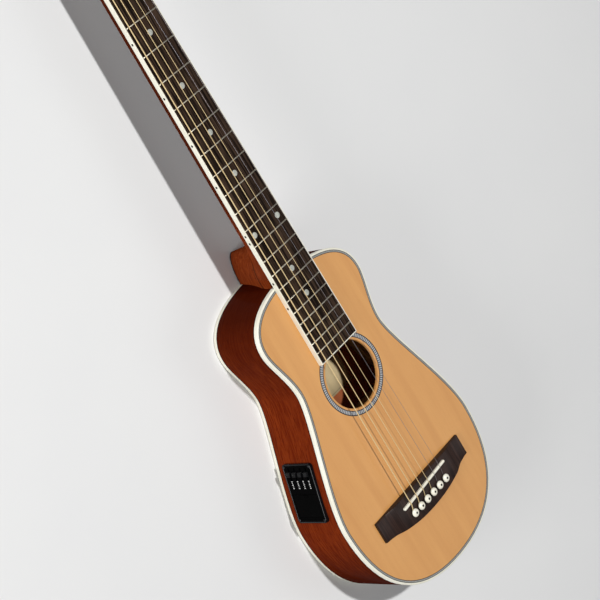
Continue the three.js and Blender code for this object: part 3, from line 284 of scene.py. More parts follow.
def wood(
    name, pale, dark, pitch, lines, pores, finish, unrolled=False, joined=False, ribbon=(), painted_shade=(),
):
    """Wood with its grain along x, or along the piece's own run when it is unrolled.
    Pitch and lines are the spacing and strength of its growth rings, pores their strength
    and length, finish its roughness, coat and gloss, and ribbon the strength of uneven
    streaks and how many come to a metre along and across. Painted shade lists stretches
    along x over which shade is painted into the colour, darkest past the end of each."""
    material, tree, shader = start_material(name, *finish)
    place = spot(tree, "UV" if unrolled else "Object")
    if joined:
        split = node(tree, "SeparateXYZ", vector=place).outputs
        fold = maths(tree, "ABSOLUTE", maths(tree, "SUBTRACT", split["Y"], CENTRE_LINE))
        place = node(tree, "CombineXYZ", x=split["X"], y=fold, z=split["Z"]).outputs[0]
    broad = stretched(tree, place, (4, 70, 70), detail=4.0, roughness=0.55)
    clouds = stretched(tree, place, (14, 26, 26), detail=3.0, roughness=0.5)
    laid = node(tree, "Mapping", vector_type="POINT", vector=place, scale=(0.03, 1, 0.4))
    rings = node(
        tree, "TexWave", wave_type="BANDS", bands_direction="Y", wave_profile="SAW",
        vector=laid.outputs[0], scale=0.314 / pitch, distortion=5.0, detail=2.0, detail_scale=0.06,
    )
    strength, length = pores
    grains = (1 / length, 14 / length, 14 / length)
    open_pores = ramp(tree, stretched(tree, place, grains, detail=2.0), 0.58, 0.72)
    # The darkest colour: for the open pores, and for the painted shade.
    pore_and_shade_dark = tuple(channel * 0.35 for channel in dark)
    colour = tinted(tree, ramp(tree, broad, 0.32, 0.68), pale, dark, 0.55)
    colour = tinted(tree, ramp(tree, clouds, 0.35, 0.7), colour, dark, 0.22)
    colour = tinted(tree, rings.outputs["Fac"], colour, dark, lines)
    if ribbon:
        amount, runs, rows = ribbon
        streaks = stretched(tree, place, (runs, rows, rows), detail=2.5)
        colour = tinted(tree, ramp(tree, streaks, 0.44, 0.58), colour, dark, amount)
    # Painted shade: over each stretch the colour turns darker, standing in for shade.
    for start, end in painted_shade:
        along = node(tree, "SeparateXYZ", vector=place).outputs["X"]
        colour = tinted(tree, ramp(tree, along, start, end), colour, pore_and_shade_dark, 0.82)
    colour = tinted(tree, open_pores, colour, pore_and_shade_dark, strength)
    relief = broad if strength < 0.1 else open_pores
    surface(tree, shader, colour, relief, 0.05 + 0.2 * strength, 0.0002)
    return material


spruce = wood(
    "spruce", (0.69, 0.350, 0.114), (0.56, 0.250, 0.070), 0.0013, 0.28, (0.08, 0.006),
    (0.4, 0.2, 0.25), joined=True,
)
TOP_THICKNESS, BED_DEPTH = 3.0, 1.45
BINDING_INSET, PURFLING_INSET = 2.0, 4.6
BED_INNER, BED_OUTER = 35.65, 40.75
bm = bench()
underside = ring(bm, at_height(outline(BINDING_INSET), -TOP_THICKNESS))
face_edge = carry(bm, underside, *levels(outline, (
    (BINDING_INSET, -BED_DEPTH), (PURFLING_INSET, -BED_DEPTH), (PURFLING_INSET, 0.0),
)))
rosette_edge = ring(bm, at_height(circle(BED_OUTER), 0.0))
hole_edge = carry(bm, rosette_edge, *levels(circle, (
    (BED_OUTER, -BED_DEPTH), (BED_INNER, -BED_DEPTH), (BED_INNER, 0), (34.0, 0), (33.5, -0.2),
    (33.3, -0.7), (33.3, -TOP_THICKNESS),
)))
fill(bm, face_edge, rosette_edge)
fill(bm, hole_edge, underside)
finish_piece(bm, "spruce_soundboard", spruce, ["soundboard"])

# Rosette
# A ring of grey and white veneer rope with a black line at each edge, glued into its bed
# round the sound hole and scraped level with the spruce.


def rope(name, light, shade, pitch, lean, edge):
    """Inlaid rope: leaning dark ties across a pale strip, with a black line along each edge"""
    material, tree, shader = start_material(name, 0.4, 0.15, 0.3)
    split = node(tree, "SeparateXYZ", vector=spot(tree, "UV")).outputs
    along, across = split["X"], split["Y"]
    ties = maths(tree, "MULTIPLY_ADD", across, lean / pitch, maths(tree, "DIVIDE", along, pitch))
    swing = maths(tree, "PINGPONG", maths(tree, "FRACT", ties), 0.5)
    colour = tinted(tree, ramp(tree, swing, 0.13, 0.22), shade, light)
    colour = tinted(tree, stretched(tree, spot(tree), (700, 700, 700)), colour, shade, 0.2)
    for low, high in edge:
        line = maths(tree, "COMPARE", across, (low + high) / 2, (high - low) / 2)
        colour = tinted(tree, line, colour, (0.012, 0.012, 0.013), 0.96)
    surface(tree, shader, colour, swing, 0.05)
    return material


def hoop(bm, stations, across=None):
    """A closed section, its corners each carried round in a ring; across is noted for each"""
    first = ring(bm, stations[0], across[0] if across else 0.0)
    rest = [*across[1:], across[0]] if across else None
    last = carry(bm, first, *stations[1:], stations[0], across=rest)
    bmesh.ops.remove_doubles(bm, verts=first + last, dist=0.0001)


def unroll(bm, length=math.inf):
    """UVs in metres from the places along and across; a closed run gives its length"""
    along_layer, across_layer = run_notes(bm)
    uv = bm.loops.layers.uv.new("run")
    for face in bm.faces:
        runs = [corner[along_layer] for corner in face.verts]
        wraps = max(runs) - min(runs) > length / 2
        for loop in face.loops:
            run = loop.vert[along_layer]
            run += length if wraps and run < length / 2 else 0
            loop[uv].uv = (run / 1000, loop.vert[across_layer] / 1000)


rosette_rope = rope(
    "rosette rope", (0.44, 0.45, 0.465), (0.008, 0.009, 0.011), 0.0020, 0.0,
    ((-0.001, 0.0009), (0.0040, 0.006)),
)
INNER, OUTER = 35.7, 40.7
bm = bench()
section = ((INNER, -1.2), (INNER, 0.0), (OUTER, 0.0), (OUTER, -1.2))
hoop(bm, levels(circle, section), (0.0, 0.0, 5.0, 5.0))
unroll(bm, 2 * math.pi * INNER)
finish_piece(bm, "rosette_ring", rosette_rope, ["rosette"])

# Purfling
# A narrow grey rope strip between two black veneer lines, let into the edge of the
# soundboard just inside the binding.


def back_level(x):
    """Height of the back's outer face: the body is 66.5 deep at the neck and 73.7 at the tail"""
    return -66.5 - (x - BODY_START) * 7.2 / 346.7


def moulding(bm, profile):
    """A strip round the body's edge; profile lists the insets and heights of its section"""
    hoop(bm, levels(outline, profile), [inset for inset, height in profile])


edge_rope = rope(
    "edge rope", (0.38, 0.385, 0.36), (0.065, 0.067, 0.065), 0.0014, 0.8,
    ((0.001, 0.0026), (0.0040, 0.006)),
)
PURFLING_LENGTH = 990
bm = bench()
moulding(bm, ((2.05, -1.2), (2.05, 0.0), (4.55, 0.0), (4.55, -1.2)))
unroll(bm, PURFLING_LENGTH)
finish_piece(bm, "purfling_strip", edge_rope, ["top_purfling"])

# Sides
# Two strips of mahogany two millimetres thick, bent over a hot pipe into the waisted
# outline and lacquered to a faint gloss. The bass side has a window for the preamp.
# Shade is painted into the sides' colour: it darkens towards the tail and round the upper bout.
body_mahogany = wood(
    "bent mahogany", (0.220, 0.034, 0.0060), (0.095, 0.0080, 0.0015), 0.0044, 0.1, (0.8, 0.009),
    (0.32, 0.03, 0.0), unrolled=True, ribbon=(0.6, 60, 620), painted_shade=((0.165, 0.1), (0.31, 0.41)),
)
PREAMP_MIDDLE, PREAMP_ALONG = Vector((530.3, -94.6)), Vector((0.9525, -0.3045))
WINDOW_REACH, WINDOW_TOP, WINDOW_FOOT = 27.3, -16.75, -53.25
WALL_INSET = 4.7


def saw(bm, place, way, **parts):
    """Cuts through the whole mesh at a plane; returns the edges of the cut"""
    made = bmesh.ops.bisect_plane(
        bm, geom=bm.verts[:] + bm.edges[:] + bm.faces[:], plane_co=place, plane_no=way, dist=0.0001,
        **parts,
    )
    return pick(made["geom_cut"], bmesh.types.BMEdge)


def soften(piece):
    """Keeps flat faces flat beside their rounded edges"""
    weighted = piece.modifiers.new("flat faces", "WEIGHTED_NORMAL")
    weighted.keep_sharp = True


def side_wall(side, sign):
    """One bent side; the bass one, with sign -1, gets the window"""
    bm = bench()
    along_layer, across_layer = run_notes(bm)
    points, run, corners = half_outline(0.05, 32), 0.0, []
    for i, point in enumerate(points):
        run += (point - points[i - 1]).length if i else 0.0
        corner = bm.verts.new((point.x, sign * max(point.y, 0.1), -WALL_INSET))
        corner[along_layer], corner[across_layer] = run, -WALL_INSET
        corners.append(corner)
    chain = [bm.edges.new(pair) for pair in zip(corners, corners[1:])]
    for level in (WINDOW_TOP, WINDOW_FOOT, None):
        made = bmesh.ops.extrude_edge_only(bm, edges=chain)["geom"]
        fresh = set(pick(made, bmesh.types.BMVert))
        chain = [edge for edge in pick(made, bmesh.types.BMEdge) if set(edge.verts) <= fresh]
        for corner in fresh:
            corner.co.z = back_level(corner.co.x) + WALL_INSET if level is None else level
            corner[across_layer] = corner.co.z
    if sign < 0:
        for end in (-WINDOW_REACH, WINDOW_REACH):
            saw(bm, (PREAMP_MIDDLE + end * PREAMP_ALONG).to_3d(), PREAMP_ALONG.to_3d())
        window = []
        for face in bm.faces:
            middle = face.calc_center_median()
            past = (middle.xy - PREAMP_MIDDLE).dot(PREAMP_ALONG)
            if abs(past) < WINDOW_REACH and WINDOW_FOOT < middle.z < WINDOW_TOP:
                window.append(face)
        bmesh.ops.delete(bm, geom=window, context="FACES")
    bm.faces.ensure_lookup_table()
    bmesh.ops.recalc_face_normals(bm, faces=bm.faces)
    inside, probe = Vector((600, 0, -30)), bm.faces[0]
    if probe.normal.dot(probe.calc_center_median() - inside) < 0:
        bmesh.ops.reverse_faces(bm, faces=bm.faces)
    unroll(bm)
    piece = finish_piece(
        bm, f"bent_side_{side}", body_mahogany, [f"side_{side}"], shell=True, sharp=60
    )
    wall = piece.modifiers.new("wall", "SOLIDIFY")
    wall.thickness, wall.offset = 0.0022, -1
    soften(piece)


side_wall("treble", 1)
side_wall("bass", -1)

# Inner woodwork
# Kerfed linings, the blocks at the neck and the tail, the braces of the soundboard and
# the back, and the plate under the bridge: bare planed spruce, never lacquered.
bare_spruce = wood(
    "bare spruce", (0.50, 0.33, 0.17), (0.34, 0.19, 0.08), 0.0014, 0.3, (0.05, 0.006), (0.75, 0.0, 0.2)
)


def dress(names, material):
    """A finish for nodes that keep their shape"""
    for name in names:
        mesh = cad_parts[name].data
        mesh.materials.clear()
        mesh.materials.append(material)


dress(
    ["top_lining", "back_lining", "neck_block", "tail_block", "bridge_plate", "x_brace", "back_bracing"],
    bare_spruce,
)

# Back
# Two bookmatched plates of mahogany with a glued centre join, flat and 2.6 mm thick. They
# are lacquered outside and left bare, and so paler, inside.
back_mahogany = wood(
    "flat mahogany", (0.29, 0.052, 0.0110), (0.120, 0.0130, 0.0030), 0.0044, 0.12, (0.8, 0.009),
    (0.32, 0.06, 0.0), joined=True, ribbon=(0.6, 60, 620),
)


def above_back(rise):
    """For each x, the height so far above the back's outer face"""
    return lambda x: back_level(x) + rise


def slab(bm, *stations):
    """A plate built up through its stations, with both faces closed"""
    low = ring(bm, stations[0])
    high = carry(bm, low, *stations[1:])
    fill(bm, low)
    fill(bm, high)


tree = back_mahogany.node_tree
finished = tree.nodes["Principled BSDF"].inputs["Base Color"]
inner_face = ramp(tree, node(tree, "SeparateXYZ", vector=spot(tree)).outputs["Z"], 0.0012, 0.0016)
bare = tinted(tree, inner_face, finished.links[0].from_socket, (0.50, 0.17, 0.072), 0.6)
feed(tree, finished, bare)
bm = bench()
slab(bm, *(at_height(outline(BINDING_INSET), above_back(rise)) for rise in (0, 2.6)))
finish_piece(bm, "mahogany_back", back_mahogany, ["back"])

# Bindings
# Cream plastic strips, two millimetres wide and 4.6 deep, glued round both edges of the
# body and rounded over by hand.


def plastic(name, colour, shade, finish, speckle=0.0, grain=900.0):
    """Moulded plastic: a faint cloudiness in its colour and a fine texture in its skin"""
    material, tree, shader = start_material(name, *finish)
    place = spot(tree)
    clouds = stretched(tree, place, (45, 45, 45), detail=3.0)
    fine = stretched(tree, place, (grain, grain, grain), detail=2.0)
    tint = tinted(tree, ramp(tree, clouds, 0.3, 0.7), colour, shade, 0.8)
    if speckle:
        tint = tinted(tree, fine, tint, shade, speckle)
    surface(tree, shader, tint, fine, 0.04 + speckle * 0.2)
    return material


def edge_strips(profile, name, material, stood_for=""):
    """A strip along each edge of the body; profile lists insets and depths from the edge"""
    for edge, level in (("top", lambda depth: -depth), ("back", above_back)):
        bm = bench()
        moulding(bm, [(inset, level(depth)) for inset, depth in profile])
        nodes = [f"{edge}_{stood_for}"] if stood_for else []
        finish_piece(bm, f"{edge}_{name}", material, nodes)


cream = plastic("cream binding", (0.84, 0.82, 0.71), (0.76, 0.73, 0.60), (0.3, 0.1, 0.2))
edge_strips(
    ((0.0, 4.6), (0.0, 0.9), (0.12, 0.45), (0.45, 0.12), (0.9, 0.0), (2.0, 0.0), (2.0, 4.6)),
    "edge_binding", cream, "binding",
)

# Black edge lines
# A fine black line beside each binding, where it meets the mahogany of the sides. Its
# ends meet at the tail.
black_dot = plastic("black inlay", (0.008, 0.008, 0.008), (0.013, 0.012, 0.012), (0.4, 0.0, 0.15))
edge_strips(((0.0, 5.35), (0.0, 4.62), (0.9, 4.62), (0.9, 5.35)), "black_edge_line", black_dot)

# Bridge
# One piece of rosewood, straight in front and bellied behind, whose wings are scooped
# thin towards both ends. It is glued on the spruce.
rosewood = wood(
    "oiled rosewood", (0.050, 0.026, 0.020), (0.011, 0.006, 0.005), 0.0020, 0.3, (0.7, 0.010),
    (0.4, 0.0, 0.2), ribbon=(0.6, 12, 400),
)
BRIDGE_REACH, BRIDGE_FRONT = 70.5, 589.4


def bridge_back(y):
    """The bridge's rear edge at a distance y from its middle"""
    low, high = 0.0, 1.0
    for _ in range(30):
        t = (low + high) / 2
        reach = bezier(t, 0, 35.96, 47.94, BRIDGE_REACH)
        low, high = (t, high) if reach < abs(y) else (low, t)
    return bezier(t, 623.2, 623.2, 614.73, 612.2)


def bridge_height(y):
    """Full height in the middle, scooped from 45.5 outwards and nearly level at the tips"""
    t = max(abs(y) - 45.5, 0) / 25
    return 6.6 - 2.9 * min(t / 0.42, 1) - 0.5 * max(t - 0.42, 0)


def loft(bm, sections):
    """Carries the first section through the others and closes both ends"""
    sections = [[Vector(point) for point in section] for section in sections]
    first = ring(bm, sections[0])
    last = carry(bm, first, *sections[1:])
    bmesh.ops.edgeloop_fill(bm, edges=around(bm, first))
    bmesh.ops.edgeloop_fill(bm, edges=around(bm, last))


bm = bench()
sections = []
for i in range(-30, 31):
    y = BRIDGE_REACH * i / 30
    front, back, top, soft, turn = BRIDGE_FRONT, bridge_back(y), bridge_height(y), 0.9, 0.27
    if abs(i) == 30:
        top -= 0.5
    elif abs(i) == 29:
        y = math.copysign(70.0, i)
    sections.append([
        (front, y, 0.1), (front, y, top - soft), (front + turn, y, top - turn), (front + soft, y, top),
        (back - soft, y, top), (back - turn, y, top - turn), (back, y, top - soft), (back, y, 0.1),
    ])
loft(bm, sections)
finish_piece(bm, "bridge_body", rosewood, ["bridge"], sharp=40)

# Saddle and its pickup strip
# A bar of ivory plastic three millimetres thick stands slanted in the bridge, its crown
# rounded over. The brass strip of the pickup lies under it.


def block(bm, size, middle=(0, 0, 0)):
    made = bmesh.ops.create_cube(bm, size=1.0)["verts"]
    bmesh.ops.scale(bm, vec=size, verts=made)
    bmesh.ops.translate(bm, vec=middle, verts=made)


def round_over(bm, edges, width, segments, **limits):
    """Edges broken round with a bevel"""
    bmesh.ops.bevel(
        bm, geom=edges, offset=width, segments=segments, profile=0.5, affect="EDGES", material=-1,
        **limits,
    )


ivory = plastic("ivory plastic", (0.89, 0.86, 0.74), (0.82, 0.77, 0.62), (0.28, 0.2, 0.4))
SADDLE_PLACE, SADDLE_TOP, SADDLE_DEPTH, SADDLE_SLANT = 597.4, 9.05, 5.35, 4.1 / 73
bm = bench()
block(bm, (3.0, 73.0, SADDLE_DEPTH))
ends = [e for e in bm.edges if abs(e.verts[0].co.z - e.verts[1].co.z) > 1]
round_over(bm, ends, 1.3, 4)
crown = [e for e in bm.edges if all(v.co.z > 2 for v in e.verts)]
round_over(bm, crown, 1.1, 4)
bmesh.ops.rotate(bm, matrix=Matrix.Rotation(math.atan(SADDLE_SLANT), 3, "Z"), verts=bm.verts)
bmesh.ops.translate(bm, vec=(SADDLE_PLACE, 0, SADDLE_TOP - SADDLE_DEPTH / 2), verts=bm.verts)
soften(finish_piece(bm, "saddle_bar", ivory, ["saddle"], sharp=60))


def metal(name, colour, roughness, spread, brushed=(60, 60, 60), mirror=1.0):
    """Plated or drawn metal, its gloss uneven along the way that it was polished"""
    material, tree, shader = start_material(name, roughness)
    marks = stretched(tree, spot(tree), brushed, detail=4.0)
    tone = tinted(tree, marks, colour, tuple(channel * 0.82 for channel in colour), 0.8)
    gloss = node(tree, "MapRange", value=marks, to_min=roughness, to_max=roughness + spread)
    feed(tree, shader.inputs["Metallic"], mirror)
    feed(tree, shader.inputs["Roughness"], gloss.outputs["Result"])
    surface(tree, shader, tone, marks, 0.02)
    return material


brass = metal("brass strip", (0.68, 0.52, 0.26), 0.3, 0.2)
dress(["saddle_pickup"], brass)

# Bridge pins
# Six turned pins of ivory plastic, with a black dot let into each domed head. Each holds
# the ball of its string under the bridge plate.


def turned(bm, profile, place=Matrix.Identity(4), count=32):
    """A shape turned on a lathe from radii and heights, then set in its place"""
    others = set(bm.verts)
    corners = [bm.verts.new((radius, 0, height)) for radius, height in profile]
    edges = [bm.edges.new(pair) for pair in zip(corners, corners[1:])]
    bmesh.ops.spin(
        bm, geom=corners + edges, cent=(0, 0, 0), axis=(0, 0, 1), angle=2 * math.pi, steps=count,
        use_merge=True,
    )
    shape = [corner for corner in bm.verts if corner not in others]
    bmesh.ops.remove_doubles(bm, verts=shape, dist=0.0005)
    bmesh.ops.transform(bm, matrix=place, verts=[corner for corner in shape if corner.is_valid])


def pin_place(index):
    """Where a string's pin stands; the string crosses the saddle as far from the middle"""
    return Vector((610.2, 27 - index * 10.8, 0))


for index in range(6):
    bm = bench()
    turned(bm, (
        (0, -12.15), (2.1, -12.15), (2.6, 6.85), (3.3, 7.6), (4.05, 8.15), (4.3, 8.6), (4.1, 9.2),
        (3.5, 9.85), (2.6, 10.35), (1.5, 10.65), (0, 10.75),
    ), Matrix.Translation(pin_place(index)))
    finish_piece(
        bm, f"turned_pin_{index + 1}", ivory, [f"bridge_pin_{index + 1}"], sharp=50
    )
bm = bench()
dot = ((0, 9.5), (1.15, 9.5), (1.15, 10.72), (0.9, 10.82), (0, 10.84))
for index in range(6):
    turned(bm, dot, Matrix.Translation(pin_place(index)), 20)
finish_piece(bm, "pin_dots", black_dot, sharp=50)

# Neck and heel
# A mahogany shaft with an oval back. Its heel is deepened with a second block glued on
# below, with a dark band across it where the two meet, and a thin cap of rosewood closes its foot.
# Shade is painted into the neck's colour: the shaft and headstock are darker than the heel, turning dark
# just in front of the heel.
neck_mahogany = wood(
    "neck mahogany", (0.235, 0.045, 0.0105), (0.112, 0.015, 0.003), 0.0030, 0.25, (0.8, 0.009),
    (0.38, 0.03, 0.0), ribbon=(0.6, 60, 500), painted_shade=((0.018, -0.03),),
)
NUT_WIDTH, BOARD_FLARE, BOARD_LENGTH = 42.6, 13.6, 430.5
SHAFT_DEPTH, SHAFT_ROUNDNESS = 15, 0.86
HEAD_START, HEAD_SLOPE = -5, 0.2493
HEEL_START, HEEL_END, HEEL_SEAM = 286.1, 342.0, 17.5


def board_half(x):
    """Half the width of the fingerboard, which widens by its flare from the nut"""
    return (NUT_WIDTH + BOARD_FLARE * x / BOARD_LENGTH) / 2


def heel_half(depth):
    """Half the heel's width at a depth"""
    left = 1 - max(depth - HEEL_SEAM, 0) / 49
    upper = (21 + 28 * max(left, 0) ** 1.5) / 2
    return upper + max(HEEL_SEAM - depth, 0) / HEEL_SEAM * 2.1


def oval(flat, belly, half, roundness, count=28):
    """A closed D: straight across at the flat side and bulging to the belly"""
    points = []
    for i in range(count + 1):
        turn = math.pi * i / count
        out = math.sin(turn) ** roundness if 0 < i < count else 0.0
        x = flat[0] + (belly[0] - flat[0]) * out
        z = flat[1] + (belly[1] - flat[1]) * out
        points.append((x, half * math.cos(turn), z))
    return points


def neck_sections():
    """Sections from the headstock along the shaft and down into the heel"""
    sections = []
    for x in (-27, -22, -17, -12, -8, HEAD_START):
        top = 1 - (HEAD_START - x) * HEAD_SLOPE - (1.4 if x < HEAD_START else 1.0)
        depth = SHAFT_DEPTH * (1 + 0.3 * x / 27)
        sections.append(oval((x, top), (x, top - depth + 0.4), NUT_WIDTH / 2, SHAFT_ROUNDNESS))
    for i in range(19):
        x = HEEL_START * i / 18
        depth = SHAFT_DEPTH + 2.5 * x / BODY_START
        sections.append(oval((x, 0), (x, -depth), board_half(x), SHAFT_ROUNDNESS))
    drop, bend = 36.1, 19
    pivot = Vector((HEEL_START, -drop))
    for i in range(1, 13):
        turn = math.radians(7.5 * i)
        belly = pivot + bend * Vector((math.sin(turn), math.cos(turn)))
        reach = drop * math.tan(turn) if i < 12 else math.inf
        if pivot.x + reach < HEEL_END:
            flat = Vector((pivot.x + reach, 0))
            half = board_half(flat.x)
        else:
            flat = Vector((HEEL_END, pivot.y + (HEEL_END - pivot.x) / math.tan(turn)))
            half = heel_half(-flat.y)
        sections.append(oval(flat, belly, half, SHAFT_ROUNDNESS + 0.14 * i / 12))
    for i in range(1, 9):
        share = i / 8
        flat = Vector((HEEL_END, -drop - share * 27.94))
        belly = Vector((305.1 + 4 * share, -drop - share * 27.25))
        sections.append(oval(flat, belly, heel_half(-flat.y), 1.0))
    return sections


def neck_part(above=None, below=None):
    """The neck's block, sawn off at one level or two, with the cut edges broken"""
    bm = bench()
    loft(bm, neck_sections())
    for level, keep_above in ((above, True), (below, False)):
        if level is not None:
            cut = saw(bm, (0, 0, level), (0, 0, 1), clear_inner=keep_above, clear_outer=not keep_above)
            bmesh.ops.edgeloop_fill(bm, edges=cut)
            round_over(bm, cut, 0.35, 2, clamp_overlap=True)
    return bm


def head_outline(inset=0.0, count=12):
    """The headstock's outline in its own plane, from the nut round the tip"""
    root, shoulder, end, tip = NUT_WIDTH / 2 - inset, 30.5 - inset, 33.5 - inset, 22 - inset
    length, corner = 152 - inset, 136
    shares = [i / count for i in range(1, count + 1)]
    flare = [Vector(point) for point in ((0, root), (-13, root), (-13, shoulder), (-26, shoulder))]
    points = [flare[0]] + [bezier(t, *flare) for t in shares] + [Vector((-corner, end))]
    for t in shares:
        s = 1 - t
        points.append(Vector((
            -corner * s * s - length * (2 * t * s + t * t),
            end * (s * s + 2 * t * s) + tip * t * t,
        )))
    for t in shares[:count // 2]:
        points.append(Vector((-length - 10 * t * (1 - t), tip * (1 - 2 * t))))
    return points + [Vector((p.x, -p.y)) for p in reversed(points[:-1])]


tilt = Matrix.Translation((HEAD_START, 0, 1)) @ Matrix.Rotation(math.radians(-14), 4, "Y")
bm = neck_part(above=-HEEL_SEAM)
slab(bm, *levels(head_outline, ((0, 0.0), (0, -11.8), (0.3, -12.55), (1.1, -13.0)), tilt))
finish_piece(bm, "mahogany_neck", neck_mahogany, ["neck"], sharp=45)
bm = neck_part(below=-18.8)
finish_piece(bm, "mahogany_heel", neck_mahogany, ["heel"], sharp=45)
# A dark band fills the gap between the neck and the heel block.
bm = neck_part(above=-18.75, below=-17.55)
seam_dark = plastic("dark seam band", (0.060, 0.018, 0.008), (0.045, 0.013, 0.006), (0.6, 0.0, 0.0))
finish_piece(bm, "heel_seam_band", seam_dark, sharp=45)
bm = bench()
sections = []
for inset, rise in ((0.0, 2.2), (0.0, 0.75), (0.15, 0.4), (0.6, 0.25)):
    flat = (HEEL_END, back_level(HEEL_END) + rise)
    belly = (309.1 + inset, back_level(309.1) + rise)
    sections.append(oval(flat, belly, 10.5 - inset, 1.0))
loft(bm, sections)
finish_piece(bm, "rosewood_heel_cap", rosewood, ["heel_cap"], sharp=45)

# Truss rod
# A steel channel with its screw, let into the neck under the fingerboard. Its hexagon
# socket is reached through the sound hole.
steel = metal("drawn steel", (0.60, 0.61, 0.62), 0.28, 0.2, (40, 900, 900))
dress(["truss_rod"], steel)

# Fingerboard
# A straight board of dark rosewood with pearl dots let into it. The binding along its
# sides and its end is cream plastic with small black marker dots on the bass side.
BINDING_WIDTH, BOARD_FOOT, BOARD_TOP = 1.15, 0.15, 5.2


def board_plan(inset):
    """The board's four corners, moved inwards from the outside of its binding"""
    end = BOARD_LENGTH - inset
    corners = ((0, -1), (end, -1), (end, 1), (0, 1))
    return [Vector((x, side * (board_half(x) - inset))) for x, side in corners]


board_wood = wood(
    "board rosewood", (0.076, 0.045, 0.029), (0.007, 0.004, 0.0025), 0.0020, 0.2, (0.8, 0.014),
    (0.5, 0.0, 0.05), ribbon=(1.0, 22, 600),
)
bm = bench()
slab(bm, *(at_height(board_plan(BINDING_WIDTH), height) for height in (BOARD_FOOT, BOARD_TOP)))
finish_piece(bm, "rosewood_board", board_wood, ["fingerboard"])

bm = bench()
low = ring(bm, at_height(board_plan(0) + board_plan(BINDING_WIDTH)[::-1], BOARD_FOOT))
face = bmesh.ops.edgeloop_fill(bm, edges=around(bm, low))["faces"]
lifted = pick(bmesh.ops.extrude_face_region(bm, geom=face)["geom"], bmesh.types.BMVert)
bmesh.ops.translate(bm, vec=(0, 0, BOARD_TOP - BOARD_FOOT), verts=lifted)
crest = []
for edge in bm.edges:
    ends = [corner.co for corner in edge.verts]
    outside = all(abs(abs(c.y) - board_half(c.x)) < 0.01 or c.x > 430 for c in ends)
    if outside and all(c.z > 5 for c in ends) and (ends[0] - ends[1]).length > 10:
        crest.append(edge)
round_over(bm, crest, 0.4, 3)
soften(finish_piece(bm, "board_edge_binding", cream, ["fingerboard_binding"]))


def fret_place(number, scale=595):
    return scale * (1 - 2 ** (-number / 12))


def space_middle(number):
    return (fret_place(number) + fret_place(number - 1)) / 2


pearl, tree, shader = start_material("pearl", 0.35, 0.1, 0.2)
layers = stretched(tree, spot(tree), (260, 420, 300), detail=3.0, distortion=1.5)
sheen = tinted(tree, ramp(tree, layers, 0.35, 0.65), (0.52, 0.53, 0.47), (0.34, 0.35, 0.32))
surface(tree, shader, sheen, layers, 0.05)
singles, pair = [space_middle(number) for number in (3, 5, 7, 9, 15, 17)], space_middle(12)
bm = bench()
dot = ((0, 4.6), (3.0, 4.6), (3.0, 5.19), (2.9, 5.23), (0, 5.24))
for x, y in [(x, 0.0) for x in singles] + [(pair, 17.3), (pair, -17.3)]:
    turned(bm, dot, Matrix.Translation((x, y, 0)))
finish_piece(bm, "pearl_dots", pearl, sharp=50)
bm = bench()
for x in singles + [pair - 4, pair + 4]:
    face_on = Matrix.Translation((x, -board_half(x), 2.9)) @ Matrix.Rotation(math.pi / 2, 4, "X")
    turned(bm, ((0, -0.6), (1.25, -0.6), (1.25, 0.03), (0, 0.05)), face_on, 20)
finish_piece(bm, "side_dots", black_dot, sharp=50)

# Frets
# Twenty-one lengths of nickel-silver wire with a rounded crown, pressed into sawn slots
# and bevelled at their ends to meet the binding.
FRET_HALF, FRET_CROWN, FRET_FOOT = 0.7, 0.9, 4.6
nickel_silver = metal("fret wire", (0.84, 0.78, 0.64), 0.34, 0.15, (900, 60, 900))
bm = bench()
for number in range(1, 22):
    x = fret_place(number)
    half = board_half(x) - 1.25
    sections = []
    for y, share in ((-half, 0.45), (-half + 0.9, 1.0), (half - 0.9, 1.0), (half, 0.45)):
        section = [(x + FRET_HALF, y, FRET_FOOT), (x + FRET_HALF, y, BOARD_TOP)]
        for i in range(1, 8):
            turn = math.pi * i / 8
            rise = FRET_CROWN * share * math.sin(turn)
            section.append((x + FRET_HALF * math.cos(turn), y, BOARD_TOP + rise))
        sections.append(section + [(x - FRET_HALF, y, BOARD_TOP), (x - FRET_HALF, y, FRET_FOOT)])
    loft(bm, sections)
finish_piece(bm, "fret_wires", nickel_silver, sharp=50)

# Nut
# A slotted block of ivory plastic that carries the strings at the end of the board. It is
# glued in its seat and its edges are broken by hand.


def rounded_node(names, material, width, angle=35):
    """A node that keeps its shape and gets its edges broken by hand"""
    dress(names, material)
    for name in names:
        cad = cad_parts[name]
        weld = cad.modifiers.new("joined faces", "WELD")
        weld.merge_threshold = 0.00001
        edge = cad.modifiers.new("broken edges", "BEVEL")
        edge.width, edge.segments = width, 2
        edge.limit_method, edge.angle_limit = "ANGLE", math.radians(angle)
        edge.harden_normals = True


rounded_node(["nut"], ivory, 0.0003)

# Headstock face
# A thin black-stained veneer, cut back a little at the nut, glued on the headstock and
# polished.
head_black = wood(
    "stained veneer", (0.020, 0.014, 0.012), (0.008, 0.006, 0.005), 0.0030, 0.3, (0.3, 0.008),
    (0.28, 0.2, 0.2),
)
bm = bench()
slab(bm, *levels(head_outline, ((0, 0.1), (0, 1.35), (0.15, 1.62), (0.5, 1.75))))
saw(bm, (-0.3, 0, 0), (1, 0, 0), clear_outer=True)
bmesh.ops.holes_fill(bm, edges=[edge for edge in bm.edges if edge.is_boundary])
soften(finish_piece(
    bm, "headstock_face", head_black, ["headstock_veneer"], place=lay @ tilt
))

# Tuners
# Three worm-driven machines on one plate at each side. Each post carries a gear behind
# the headstock, and each button turns the worm in it.
chrome = metal("plated steel", (0.78, 0.78, 0.77), 0.12, 0.14)
rounded_node(["tuner_plate_treble", "tuner_plate_bass"], chrome, 0.0002, 60)

